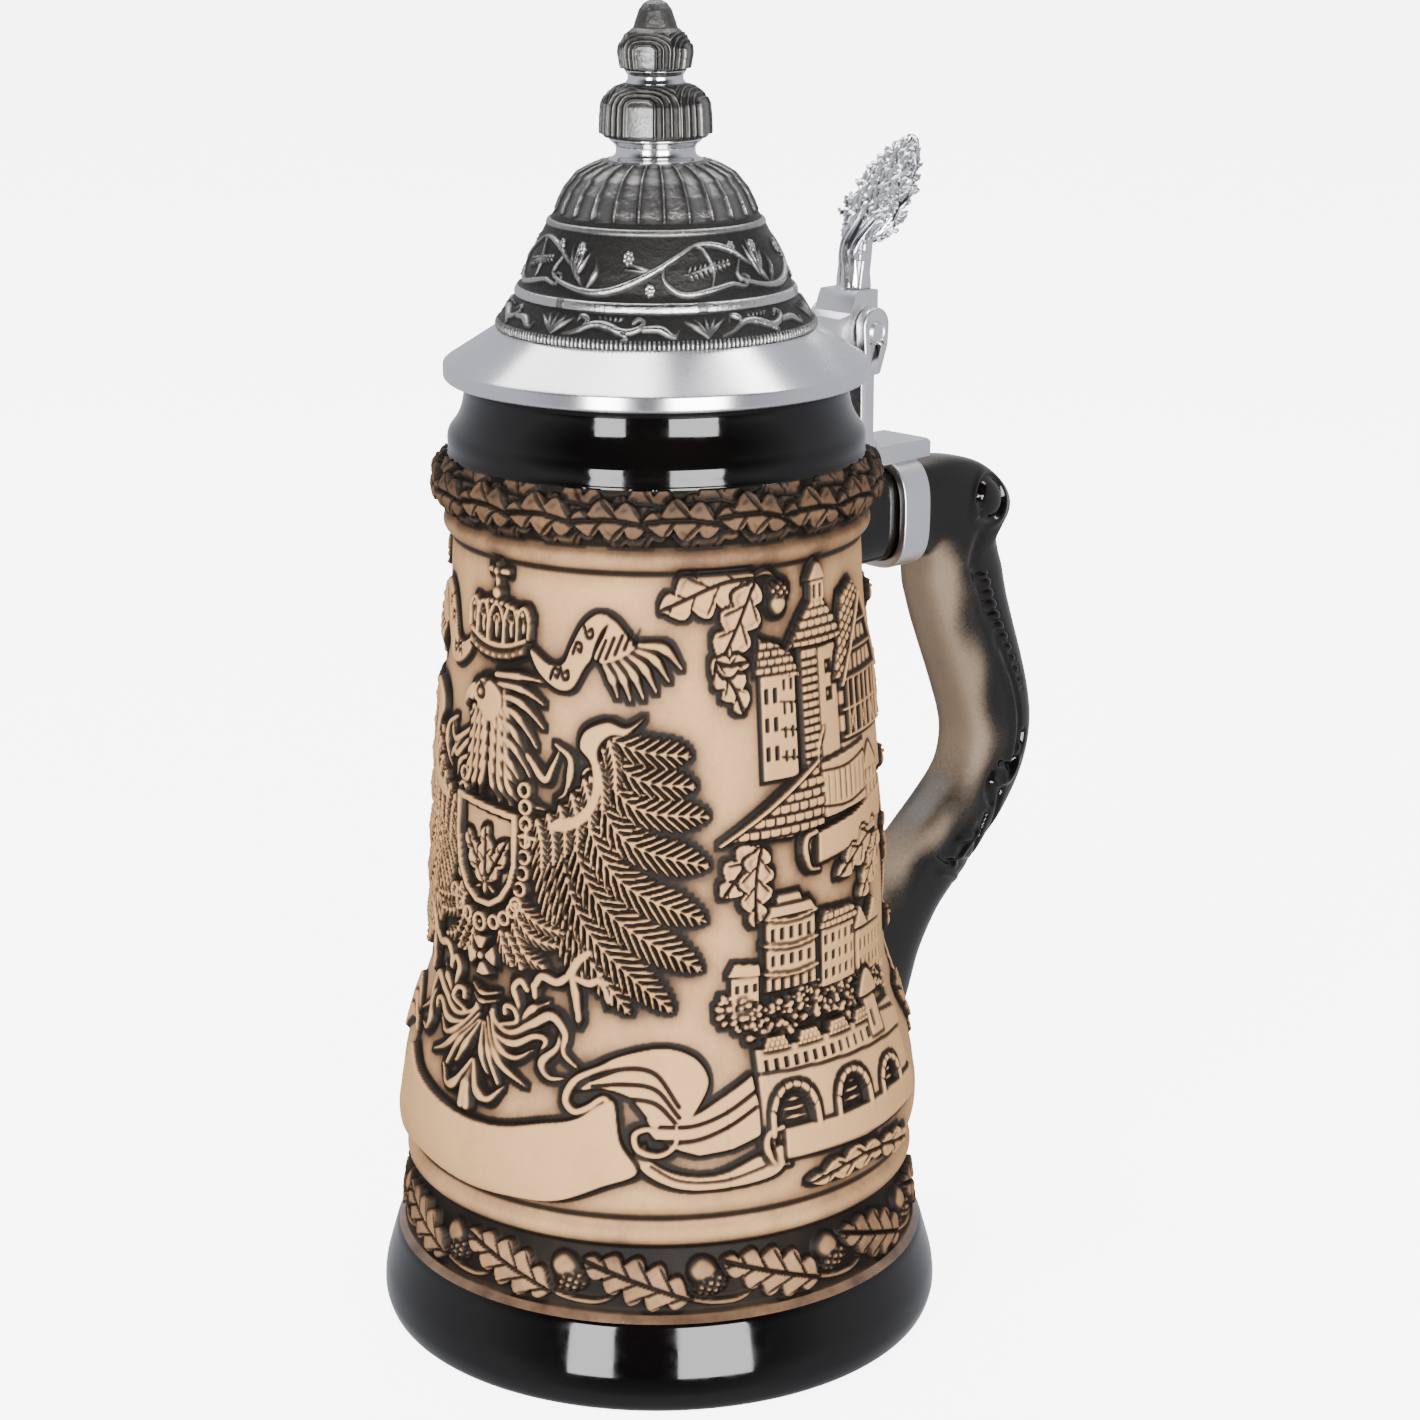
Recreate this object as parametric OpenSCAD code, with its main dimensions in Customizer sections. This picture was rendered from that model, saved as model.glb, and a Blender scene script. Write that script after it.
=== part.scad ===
// Half-litre relief stein with a hinged pewter lid.
// The origin is the centre of the flat underside, +Z is up and the handle points along +X.
// The lid turns about the hinge pin, which lies along Y behind the rim.

/* [Stoneware body] */
// Height of the stoneware from its underside to the rim
body_h = 181.1; // [150:0.1:220]
// Largest radius of the glazed foot
foot_r = 53.5; // [50:0.1:64]
// Height of the glazed foot
foot_h = 16.5; // [12:0.1:22]
// Radius of the picture field at its widest, low down
field_low_r = 49.7; // [46:0.1:60]
// Radius of the picture field at its top
field_top_r = 37.8; // [34:0.1:44]
// Radius of the glazed neck
neck_r = 35.1; // [30:0.1:43]
// Thickness of the vessel's wall
wall = 6; // [4:0.1:8]
// Thickness of the vessel's floor
floor_t = 8; // [5:0.1:12]
// Height of the lower leaf garland, from the foot's lip to its ring
low_garland_h = 12.7; // [9:0.1:18]
// Height of the upper leaf garland
top_garland_h = 9.6; // [6:0.1:14]
// Thickness of the two smooth rings that frame the picture field
ring_t = 4.2; // [3:0.1:6]
// How far the rings stand out of the ground
ring_proud = 1.2; // [0.6:0.1:2]

/* [Handle] */
// How far the back of the grip stands out past the hinge pin
grip_out = 53.3; // [44:0.1:64]
// Width of the grip across
handle_w = 15; // [12:0.1:20]
// Height of the straight root that goes through the band
root_d = 18.4; // [15:0.1:22]
// Height of the root's axis below the rim
root_drop = 34.5; // [30:0.5:42]

/* [Pewter mount] */
// Width of the band along the handle's root
band_w = 7.5; // [6:0.1:12]
// Thickness of the band
band_t = 1.7; // [1.2:0.1:3]
// Space between the band and the handle
band_gap = 0.1; // [0:0.05:0.4]
// Thickness of the upright shank
shank_t = 4; // [3:0.1:6]
// Width of the upright shank
shank_w = 12; // [9:0.1:16]
// Thickness of the foot that the shank has on the band
shank_foot_t = 3.4; // [2.5:0.1:5]
// Length of the shank's foot past the band
foot_past = 3; // [0:0.1:5]
// How deep the foot is soldered into the band's crown
solder_sink = 0.5; // [0.3:0.1:1]

/* [Hinge] */
// Distance of the hinge pin from the lid's edge
pin_out = 12.8; // [10.5:0.1:15]
// Height of the hinge pin over the rim
pin_up = 2.9; // [2:0.1:4]
// Radius of the hinge pin
pin_r = 1.9; // [1.4:0.1:2.2]
// Radial running clearance of the lid's knuckle on the pin
pin_clearance = 0.06; // [0.03:0.01:0.1]
// Radius of the fork's ears round the pin
ear_r = 3.6; // [3.4:0.1:5]
// How far the ears rise above the round of the pin
ear_up = 1.1; // [0:0.1:3]
// Thickness of one ear of the fork
ear_t = 2.4; // [1.6:0.1:4]
// Width of the lid's hinge block between the ears
block_w = 9.5; // [8:0.1:14]
// Side clearance between the block and each ear
side_clearance = 0.3; // [0.2:0.05:0.6]
// Height of the block's top over the pin
block_up = 7.6; // [6.5:0.1:10]

/* [Thumb lift] */
// Height of the trunk between the block and the crown
trunk_h = 8.3; // [6:0.1:12]
// Length of the leafy crown
crown_l = 26; // [20:0.1:32]
// Width of the leafy crown
crown_w = 14; // [10:0.1:20]
// Thickness of the leafy crown
crown_t = 2.8; // [2:0.1:4]
// How far the crown leans back from upright, in degrees
crown_lean = 41; // [20:1:50]

/* [Lid] */
// Space between the stoneware rim and the closed lid
lid_gap = 0.3; // [0.2:0.05:0.6]
// How far the lid's edge stands out past the neck
lid_over = 3.6; // [2:0.1:6]
// Height of the lid's upright edge
lid_edge_h = 3; // [2:0.1:5]
// Rise of the turned cone from the edge to the relief dome
cone_h = 6.2; // [4:0.1:9]
// Radius of the relief dome at its bead row
dome_r = 28.8; // [24:0.1:31]
// Height of the relief dome
dome_h = 19.3; // [15:0.1:24]
// Radius of the fluted cap at its lower edge
cap_r = 19.3; // [16:0.1:21]
// Height of the fluted cap
cap_h = 10.3; // [8:0.1:14]
// Thickness of the cast lid
lid_wall = 2.1; // [1.6:0.1:3]

/* [Finial] */
// Height of the lower polished neck
neck_low_h = 4; // [3:0.1:6]
// Height of the lower ribbed knob
knob_low_h = 9.4; // [7:0.1:13]
// Radius of the lower ribbed knob
knob_low_r = 9.7; // [8:0.1:12]
// Height of the upper polished neck
neck_top_h = 2.4; // [1.8:0.1:4]
// Height of the upper knob with its tip
knob_top_h = 12.1; // [9:0.1:16]
// Radius of the upper knob
knob_top_r = 6.35; // [5:0.1:8]
// Radius of the screw that holds the finial
screw_r = 2; // [1.5:0.1:2.5]
// Radial clearance of that screw in the pieces that it goes through
screw_clearance = 0.1; // [0.05:0.01:0.3]
// Thickness of the finial screw's head
head_t = 2.2; // [1.5:0.1:3]

/* [Hidden] */
$fn = 96;
far = 200;
joint_depth = 1.4;

stone = [0.78, 0.64, 0.50];
glaze = [0.10, 0.10, 0.11];
pewter = [0.78, 0.79, 0.82];
patina = [0.42, 0.42, 0.43];

// Heights on the body
lip_h = 1.9;
low_band_z = foot_h + lip_h;
low_ring_z = low_band_z + low_garland_h + ring_t / 2;
field_z0 = low_ring_z + ring_t / 2 + 1.9;
neck_h = 13.1;
top_band_z1 = body_h - neck_h;
top_band_z0 = top_band_z1 - top_garland_h;
top_ring_z = top_band_z0 - 0.7 - ring_t / 2;
field_z1 = top_ring_z - ring_t / 2 - 1;

// The picture field's outline: height share, and share of the way from top to low radius
field_shape = [
    [0, 0.86], [0.012, 0.93], [0.038, 0.99], [0.073, 1], [0.125, 0.93], [0.169, 0.84],
    [0.212, 0.72], [0.247, 0.6], [0.282, 0.49], [0.326, 0.43], [0.456, 0.38],
    [0.63, 0.28], [0.822, 0.12], [0.926, 0.035], [1, 0]
];
field_line = [
    for (p = field_shape)
        [field_top_r + (field_low_r - field_top_r) * p[1], field_z0 + (field_z1 - field_z0) * p[0]]
];
band_r = field_low_r - 1.6;
ring_low_r = field_low_r - 2.3;
garland_r = field_top_r + 1.6;

outer_line = concat(
    [
        [0, 0], [foot_r - 2.3, 0], [foot_r - 0.9, 1.3], [foot_r - 0.1, 3.6],
        [foot_r, foot_h * 0.33], [foot_r - 0.3, foot_h * 0.5], [foot_r - 1, foot_h * 0.67],
        [foot_r - 2, foot_h * 0.88], [foot_r - 2.6, foot_h], [band_r + 2, foot_h + 1.1],
        [band_r + 1.1, low_band_z], [band_r + 0.7, low_band_z + low_garland_h * 0.5],
        [ring_low_r, low_band_z + low_garland_h], [ring_low_r, low_ring_z + ring_t / 2 + 1]
    ],
    field_line,
    [
        [field_top_r, top_ring_z + ring_t / 2 + 0.3], [garland_r, top_band_z0 + 0.4],
        [garland_r + 1.1, top_band_z0 + 0.3 * top_garland_h],
        [garland_r + 1.2, top_band_z0 + 0.55 * top_garland_h],
        [garland_r + 0.7, top_band_z0 + 0.8 * top_garland_h], [neck_r + 3.3, top_band_z1],
        [neck_r + 3, top_band_z1 + 1.2], [neck_r + 3.1, top_band_z1 + 2.4],
        [neck_r + 2.8, top_band_z1 + 4], [neck_r + 1.6, top_band_z1 + 5.6],
        [neck_r + 0.6, top_band_z1 + 7.6], [neck_r, top_band_z1 + 10.2],
        [neck_r, body_h - 1.2], [neck_r - 0.8, body_h], [neck_r - wall + 2, body_h]
    ]
);
inner_line = concat(
    [[neck_r - wall + 1, body_h - 0.8], [neck_r - wall, body_h - 3]],
    [
        for (i = [len(field_line) - 1:-1:3])
            [field_line[i][0] - wall, field_line[i][1]]
    ],
    [
        [field_low_r - wall, low_band_z], [field_low_r - wall - 1.2, floor_t + 4],
        [field_low_r - wall - 4.5, floor_t + 1], [field_low_r - wall - 9, floor_t], [0, floor_t]
    ]
);

// The lid's heights
lid_z = body_h + lid_gap;
lid_r = neck_r + lid_over;
cone_z = lid_z + lid_edge_h;
dome_z = cone_z + cone_h;
cap_z = dome_z + dome_h;
neck_low_z = cap_z + cap_h;
knob_low_z = neck_low_z + neck_low_h;
neck_top_z = knob_low_z + knob_low_h;
knob_top_z = neck_top_z + neck_top_h;
top_z = knob_top_z + knob_top_h;
screw_end_z = knob_top_z + knob_top_h * 0.28;

// The hinge
pin_x = lid_r + pin_out;
pin_z = body_h + pin_up;
slot_w = block_w + 2 * side_clearance;
fork_w = slot_w + 2 * ear_t;
pin_l = fork_w + 0.4;
block_top_z = pin_z + block_up;
block_x0 = pin_x - 2.8;
block_x1 = pin_x + 3.1;
swing_r = 5.2;

// The band on the handle's root, and the shank that stands on it
root_z = body_h - root_drop;
band_x = pin_x + 7.7;
band_end_x = band_x + band_w;
band_top_z = root_z + root_d / 2 + band_gap + band_t;
foot_z = band_top_z - solder_sink;
foot_top_z = band_top_z + shank_foot_t;
shank_x0 = pin_x - shank_t / 2 - 0.7;
shank_x1 = shank_x0 + shank_t;

// The handle's outline: outer point, inner point and width share. The outline's own x runs from
// just inside the pin out to the back of the grip, its z from the lower joint up to the root.
low_joint_z = 46;
grip_h = root_z - low_joint_z;
share_x0 = pin_x - 13.7;
function reach(s) = share_x0 + (pin_x + grip_out - share_x0) * s;
function rise(s) = low_joint_z + grip_h * s;
root_half = root_d / 2;
low_x = field_low_r - 3.4;
handle_line = [
    [[field_top_r - joint_depth, root_z + root_half], [field_top_r - joint_depth, root_z - root_half], 0.93],
    [[band_x - 6, root_z + root_half], [band_x - 6, root_z - root_half], 0.93],
    [[band_end_x + 0.8, root_z + root_half], [band_end_x + 0.4, root_z - root_half], 0.93],
    [[reach(0.61), rise(1.088)], [reach(0.5), rise(0.894)], 0.95],
    [[reach(0.745), rise(1.066)], [reach(0.51), rise(0.872)], 0.97],
    [[reach(0.85), rise(1.018)], [reach(0.513), rise(0.853)], 0.98],
    [[reach(0.882), rise(0.97)], [reach(0.515), rise(0.838)], 0.98],
    [[reach(0.822), rise(0.91)], [reach(0.521), rise(0.823)], 0.97],
    [[reach(0.846), rise(0.85)], [reach(0.536), rise(0.795)], 0.98],
    [[reach(0.874), rise(0.779)], [reach(0.565), rise(0.746)], 1],
    [[reach(0.928), rise(0.684)], [reach(0.618), rise(0.666)], 1],
    [[reach(0.976), rise(0.593)], [reach(0.67), rise(0.587)], 1],
    [[reach(1), rise(0.507)], [reach(0.71), rise(0.507)], 1],
    [[reach(0.982), rise(0.427)], [reach(0.69), rise(0.437)], 0.98],
    [[reach(0.922), rise(0.351)], [reach(0.613), rise(0.388)], 0.96],
    [[reach(0.824), rise(0.283)], [reach(0.51), rise(0.338)], 0.94],
    [[reach(0.704), rise(0.214)], [reach(0.406), rise(0.288)], 0.92],
    [[reach(0.588), rise(0.149)], [reach(0.3), rise(0.239)], 0.9],
    [[reach(0.504), rise(0.064)], [reach(0.212), rise(0.194)], 0.87],
    [[reach(0.463), rise(-0.015)], [reach(0.16), rise(0.164)], 0.84],
    [[reach(0.41), rise(-0.075)], [low_x + 1, rise(0.149)], 0.8],
    [[reach(0.3), rise(-0.115)], [low_x + 0.4, rise(0.134)], 0.78],
    [[low_x, rise(-0.124)], [low_x, rise(0.12)], 0.76]
];
section_sides = 28;
section_power = 2 / 3;
steps = 2;

function spline(a, b, c, d, t) =
    0.5 * ((2 * b) + (c - a) * t + (2 * a - 5 * b + 4 * c - d) * t * t
    + (3 * b - a - 3 * c + d) * t * t * t);
function pick(list, i) = list[max(0, min(len(list) - 1, i))];
function smooth_line(list, k) = [
    for (i = [0:len(list) - 2], j = [0:steps - 1])
        spline(pick(list, i - 1)[k], list[i][k], list[i + 1][k], pick(list, i + 2)[k], j / steps)
];
function rounded(v) = sign(v) * pow(abs(v), section_power);
function handle_ring(out, inn, w) = [
    for (j = [0:section_sides - 1])
        let (
            a = 360 * j / section_sides,
            mid = (out + inn) / 2,
            half = (out - inn) / 2,
            p = mid + half * rounded(cos(a))
        )
        [p[0], w / 2 * rounded(sin(a)), p[1]]
];

// Stoneware vessel with its glazed foot and neck
module stoneware_body() {
    color(stone) {
        rotate_extrude() polygon(concat(outer_line, inner_line));
        smooth_ring(ring_low_r, low_ring_z);
        smooth_ring(field_top_r + 0.2, top_ring_z);
    }
}

// One of the two smooth rings round the picture field
module smooth_ring(ground_r, z) {
    rotate_extrude() difference() {
        translate([ground_r + ring_proud - ring_t / 2, z]) circle(d = ring_t);
        translate([0, z - ring_t]) square([ground_r - wall / 2, 2 * ring_t]);
    }
}

// Handle, moulded apart and luted onto the vessel
module handle() {
    outs = smooth_line(handle_line, 0);
    inns = smooth_line(handle_line, 1);
    wide = smooth_line(handle_line, 2);
    last = handle_line[len(handle_line) - 1];
    rings = concat(
        [for (i = [0:len(outs) - 1]) handle_ring(outs[i], inns[i], wide[i] * handle_w)],
        [handle_ring(last[0], last[1], last[2] * handle_w)]
    );
    n = section_sides;
    count = len(rings);
    points = [for (r = rings, p = r) p];
    sides = [
        for (i = [0:count - 2], j = [0:n - 1])
            let (a = i * n + j, b = i * n + (j + 1) % n)
            each [[a, b, b + n], [a, b + n, a + n]]
    ];
    first_cap = [for (j = [n - 1:-1:0]) j];
    last_cap = [for (j = [0:n - 1]) (count - 1) * n + j];
    color(glaze) polyhedron(concat([for (p = points) p]), concat(sides, [first_cap], [last_cap]));
}

// Outline of the handle's straight root, grown by a margin
module root_outline(margin) {
    half_h = root_half + margin;
    half_w = handle_w * 0.93 / 2 + margin;
    polygon([
        for (j = [0:section_sides - 1])
            let (a = 360 * j / section_sides)
            [half_h * rounded(cos(a)), half_w * rounded(sin(a))]
    ]);
}

// Pewter band cast round the handle's root
module handle_band() {
    color(pewter)
    translate([band_x, 0, root_z]) rotate([0, 90, 0]) linear_extrude(band_w) difference() {
        root_outline(band_gap + band_t);
        root_outline(band_gap);
    }
}

// A plate standing in the XZ plane, centred on Y
module side_plate(width) {
    rotate([90, 0, 0]) translate([0, 0, -width / 2]) linear_extrude(width) children();
}

// Upright shank: foot on the band, stem, and the fork that holds the hinge pin
module shank() {
    foot_x1 = band_end_x + foot_past;
    color(pewter) difference() {
        union() {
            side_plate(shank_w) polygon([
                [shank_x0, band_top_z + 1.2], [shank_x0, pin_z - 7.6],
                [shank_x1, pin_z - 7.6], [shank_x1, foot_top_z + 2.4],
                [shank_x1 + 2, foot_top_z + 0.3], [foot_x1 - 1, foot_top_z],
                [foot_x1, foot_top_z - 0.8], [foot_x1, foot_z], [band_x - 2.5, foot_z],
                [shank_x0 + 3.5, foot_z], [shank_x0 + 0.8, foot_z + 0.5]
            ]);
            side_plate(fork_w) hull() {
                translate([pin_x, pin_z + ear_up]) circle(r = ear_r);
                translate([pin_x, pin_z - 2]) circle(r = ear_r - 0.2);
                translate([shank_x0, pin_z - 8.2]) square([shank_t, 1]);
            }
        }
        translate([pin_x - far / 2, -slot_w / 2, pin_z - swing_r]) cube([far, slot_w, far]);
        translate([pin_x, 0, pin_z]) rotate([90, 0, 0]) cylinder(h = far, r = pin_r, center = true);
    }
}

// Hinge pin, pressed into the fork's ears
module hinge_pin() {
    end_l = 0.4;
    color(pewter) translate([pin_x, 0, pin_z]) rotate([90, 0, 0]) {
        cylinder(h = pin_l - 2 * end_l, r = pin_r, center = true);
        for (side = [-1, 1])
            translate([0, 0, side * (pin_l / 2 - end_l)]) rotate([0, side < 0 ? 180 : 0, 0])
                cylinder(h = end_l, r1 = pin_r, r2 = pin_r - 0.5);
    }
}

// Height of the turned cone's upper face at a distance from the axis
function cone_top(r) = dome_z - (r - dome_r) * cone_h / (lid_r - 0.3 - dome_r);

// Hinge block: tang on the lid's cone, block and knuckle
module hinge_block() {
    tang_x = dome_r + 3;
    knuckle_r = ear_r - 0.1;
    color(pewter) difference() {
        union() {
            side_plate(block_w) polygon([
                [tang_x, cone_top(tang_x)], [tang_x + 0.6, cone_top(tang_x) + 1],
                [tang_x + 4, cone_top(tang_x) + 0.2], [block_x0 - 5, pin_z + 3],
                [block_x0 - 1.7, pin_z + 3.7], [block_x0 - 0.6, block_top_z - 1.2],
                [block_x0, block_top_z], [block_x1, block_top_z], [block_x1, pin_z + 3.6],
                [pin_x + 2.8, pin_z + 1.8], [pin_x, pin_z], [pin_x - 2, pin_z - 2.6],
                [lid_r + 3, lid_z + 0.9], [lid_r, lid_z + 1.3], [lid_r, cone_z - 0.4],
                [lid_r - 0.3, cone_z]
            ]);
            translate([pin_x, 0, pin_z]) rotate([90, 0, 0])
                cylinder(h = block_w, r = knuckle_r, center = true);
        }
        translate([pin_x, 0, pin_z]) rotate([90, 0, 0])
            cylinder(h = far, r = pin_r + pin_clearance, center = true);
        translate([0, 0, lid_z - 1]) cylinder(h = cone_z - lid_z + 1, r = lid_r);
        translate([0, 0, cone_z])
            cylinder(h = cone_h, r1 = lid_r - 0.3, r2 = dome_r);
    }
}

// Outline of the leafy crown: x across, y along it
module crown_outline() {
    w = crown_w / 2;
    side = [
        [0.22, -0.02], [0.62, 0.02], [0.86, 0.12], [0.84, 0.24], [1, 0.34], [0.94, 0.5],
        [0.82, 0.56], [0.84, 0.68], [0.6, 0.76], [0.5, 0.88], [0.24, 0.93], [0, 1]
    ];
    polygon(concat(
        [for (p = side) [p[0] * w, p[1] * crown_l]],
        [for (i = [len(side) - 2:-1:0]) [-side[i][0] * w, side[i][1] * crown_l]]
    ));
}

// Thumb lift: a forked trunk with a leafy crown that leans back over the handle
module thumb_lift() {
    trunk_x = block_x1 - 2.1;
    trunk_top = block_top_z + trunk_h;
    color(pewter) {
        side_plate(5.6) polygon([
            [trunk_x - 2.2, block_top_z], [trunk_x - 1.5, block_top_z + trunk_h * 0.4],
            [trunk_x - 1.3, trunk_top], [trunk_x + 2.6, trunk_top + 2.6],
            [trunk_x + 2.2, trunk_top - 1], [trunk_x + 1.6, block_top_z + trunk_h * 0.35],
            [trunk_x + 1.9, block_top_z]
        ]);
        translate([trunk_x, 0, trunk_top]) rotate([0, crown_lean, 0])
            translate([-crown_t / 2, 0, 0]) rotate([90, 0, 90]) linear_extrude(crown_t)
                crown_outline();
    }
}

// Turned edge and cone of the lid
module lid_flange() {
    seat_r = dome_r - lid_wall - 0.4;
    color(pewter) rotate_extrude() polygon([
        [neck_r - wall + 0.4, lid_z], [lid_r - 0.4, lid_z], [lid_r, lid_z + 0.4],
        [lid_r, cone_z - 0.4], [lid_r - 0.3, cone_z], [dome_r, dome_z], [seat_r, dome_z],
        [seat_r, dome_z - lid_wall], [neck_r - wall + 0.4, lid_z + 1.6]
    ]);
}

// Cast relief dome: bead row, lower band, polished ring and main band
module lid_dome() {
    main_z = dome_z + 0.4 * dome_h;
    main_h = cap_z - main_z;
    ring_r = dome_r - 3.6;
    main_r = dome_r - 4.4;
    outer = [
        [dome_r - 0.1, dome_z], [dome_r, dome_z + 0.7], [dome_r - 0.3, dome_z + 1.4],
        [dome_r - 3.4, dome_z + 0.3 * dome_h], [ring_r + 0.1, dome_z + 0.35 * dome_h],
        [main_r + 0.3, main_z], [main_r - 0.4, main_z + 0.1 * main_h],
        [cap_r + 0.65 * (main_r - cap_r), main_z + 0.4 * main_h],
        [cap_r + 0.36 * (main_r - cap_r), main_z + 0.68 * main_h],
        [cap_r + 0.4, cap_z - 0.9], [cap_r, cap_z]
    ];
    color(patina) rotate_extrude() polygon(concat(
        outer,
        [[cap_r - lid_wall, cap_z]],
        [for (i = [len(outer) - 3:-1:2]) [outer[i][0] - lid_wall, outer[i][1]]],
        [[dome_r - lid_wall - 0.4, dome_z]]
    ));
}

// Fluted cap that closes the dome
module lid_cap() {
    outer = [
        [cap_r - 0.2, cap_z], [cap_r - 0.8, cap_z + 0.09 * cap_h],
        [cap_r * 0.93, cap_z + 0.16 * cap_h], [cap_r * 0.9, cap_z + 0.3 * cap_h],
        [cap_r * 0.845, cap_z + 0.5 * cap_h], [cap_r * 0.73, cap_z + 0.76 * cap_h],
        [cap_r * 0.61, cap_z + 0.885 * cap_h], [cap_r * 0.45, cap_z + cap_h]
    ];
    hole_r = screw_r + screw_clearance;
    color(patina) rotate_extrude() polygon(concat(
        outer,
        [[hole_r, cap_z + cap_h], [hole_r, cap_z + cap_h - lid_wall]],
        [for (i = [len(outer) - 1:-1:3]) [outer[i][0] - lid_wall * 0.9, outer[i][1] - lid_wall]],
        [[cap_r - lid_wall, cap_z]]
    ));
}

// Lower polished neck of the finial
module finial_neck_low() {
    hole_r = screw_r + screw_clearance;
    h = neck_low_h;
    color(pewter) rotate_extrude() polygon([
        [hole_r, neck_low_z], [cap_r * 0.45, neck_low_z], [knob_low_r - 2.4, neck_low_z + 0.2 * h],
        [knob_low_r - 2.6, neck_low_z + 0.4 * h], [knob_low_r - 2.5, neck_low_z + 0.65 * h],
        [knob_low_r - 1.3, neck_low_z + 0.9 * h], [knob_low_r - 1.2, knob_low_z],
        [hole_r, knob_low_z]
    ]);
}

// Lower ribbed knob of the finial
module finial_knob_low() {
    hole_r = screw_r + screw_clearance;
    h = knob_low_h;
    r = knob_low_r;
    color(patina) rotate_extrude() polygon([
        [hole_r, knob_low_z], [r - 0.5, knob_low_z], [r, knob_low_z + 0.08 * h],
        [r - 0.1, knob_low_z + 0.4 * h], [r - 0.3, knob_low_z + 0.62 * h],
        [r - 1.1, knob_low_z + 0.82 * h], [r - 2.5, knob_low_z + 0.93 * h],
        [knob_top_r - 0.85, neck_top_z], [hole_r, neck_top_z]
    ]);
}

// Upper polished neck of the finial
module finial_neck_top() {
    hole_r = screw_r + screw_clearance;
    r = knob_top_r - 1.4;
    color(pewter) rotate_extrude() polygon([
        [hole_r, neck_top_z], [r + 0.5, neck_top_z], [r, neck_top_z + 0.3 * neck_top_h],
        [r, neck_top_z + 0.6 * neck_top_h], [r + 0.7, knob_top_z], [hole_r, knob_top_z]
    ]);
}

// Upper ribbed knob with its stepped tip
module finial_knob_top() {
    hole_r = screw_r + screw_clearance;
    h = knob_top_h;
    r = knob_top_r;
    color(patina) rotate_extrude() polygon([
        [hole_r, knob_top_z], [r - 0.7, knob_top_z], [r - 0.4, knob_top_z + 0.05 * h],
        [r, knob_top_z + 0.25 * h], [r - 0.2, knob_top_z + 0.38 * h],
        [r - 0.9, knob_top_z + 0.5 * h], [r * 0.68, knob_top_z + 0.58 * h],
        [r * 0.62, knob_top_z + 0.6 * h], [r * 0.58, knob_top_z + 0.68 * h],
        [r * 0.52, knob_top_z + 0.77 * h], [r * 0.46, knob_top_z + 0.86 * h],
        [r * 0.33, knob_top_z + 0.95 * h], [r * 0.15, top_z], [0, top_z],
        [0, screw_end_z + 0.4], [hole_r, screw_end_z + 0.4]
    ]);
}

// Screw that holds the finial's four pieces on the cap, from inside the lid
module finial_screw() {
    head_z = neck_low_z - lid_wall;
    color(pewter) {
        translate([0, 0, head_z - head_t]) cylinder(h = head_t, r = 2 * screw_r);
        translate([0, 0, head_z]) cylinder(h = screw_end_z - head_z, r = screw_r);
    }
}

stoneware_body();
handle();
handle_band();
shank();
hinge_pin();
hinge_block();
thumb_lift();
lid_flange();
lid_dome();
lid_cap();
finial_neck_low();
finial_knob_low();
finial_neck_top();
finial_knob_top();
finial_screw();
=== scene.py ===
"""Visual model of a relief stein with a hinged pewter lid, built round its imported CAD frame.

Lengths in the drawing calls are millimetres and azimuths are degrees, with 0 at the handle and
-180 at the middle of the picture. Meshes are turned into metres as they are made.
"""
import math

import bpy
import numpy as np
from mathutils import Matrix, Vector


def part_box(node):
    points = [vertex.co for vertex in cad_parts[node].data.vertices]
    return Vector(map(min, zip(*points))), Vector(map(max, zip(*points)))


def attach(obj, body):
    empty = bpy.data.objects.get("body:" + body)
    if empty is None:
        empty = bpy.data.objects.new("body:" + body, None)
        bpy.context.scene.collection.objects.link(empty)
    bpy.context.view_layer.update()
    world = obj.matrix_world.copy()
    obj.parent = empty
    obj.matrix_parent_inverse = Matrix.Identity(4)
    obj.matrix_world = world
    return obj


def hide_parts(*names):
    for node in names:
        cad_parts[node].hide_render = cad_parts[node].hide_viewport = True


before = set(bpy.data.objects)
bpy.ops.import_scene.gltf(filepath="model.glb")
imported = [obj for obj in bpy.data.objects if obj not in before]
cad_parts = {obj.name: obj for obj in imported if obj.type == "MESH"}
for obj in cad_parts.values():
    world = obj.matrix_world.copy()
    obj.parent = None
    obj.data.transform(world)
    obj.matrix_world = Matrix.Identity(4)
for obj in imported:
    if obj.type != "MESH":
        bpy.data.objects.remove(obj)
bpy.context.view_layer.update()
MM = 0.001
FULL_TURN = 2 * np.pi


def node_points(name):
    """A CAD node's vertices in millimetres."""
    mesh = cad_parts[name].data
    co = np.empty(len(mesh.vertices) * 3, np.float32)
    mesh.vertices.foreach_get("co", co)
    return co.reshape(-1, 3) / MM


def box_mm(name):
    """A CAD node's lowest and highest corner in millimetres."""
    low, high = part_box(name)
    return np.array(low) / MM, np.array(high) / MM


# ---------------------------------------------------------------- small maths

def smooth01(x):
    """A soft step from 0 to 1 while x goes from 0 to 1."""
    x = np.clip(x, 0, 1)
    return x * x * (3 - 2 * x)


def bell(x, width):
    """A bump of height 1 that fades on both sides of x = 0."""
    return np.exp(-(x / width) ** 2)


def gaussian(sigma):
    """A normalised blur kernel and how far it reaches."""
    reach = int(3 * sigma) + 1
    kernel = np.exp(-0.5 * (np.arange(-reach, reach + 1) / sigma) ** 2)
    return kernel / kernel.sum(), reach


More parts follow.
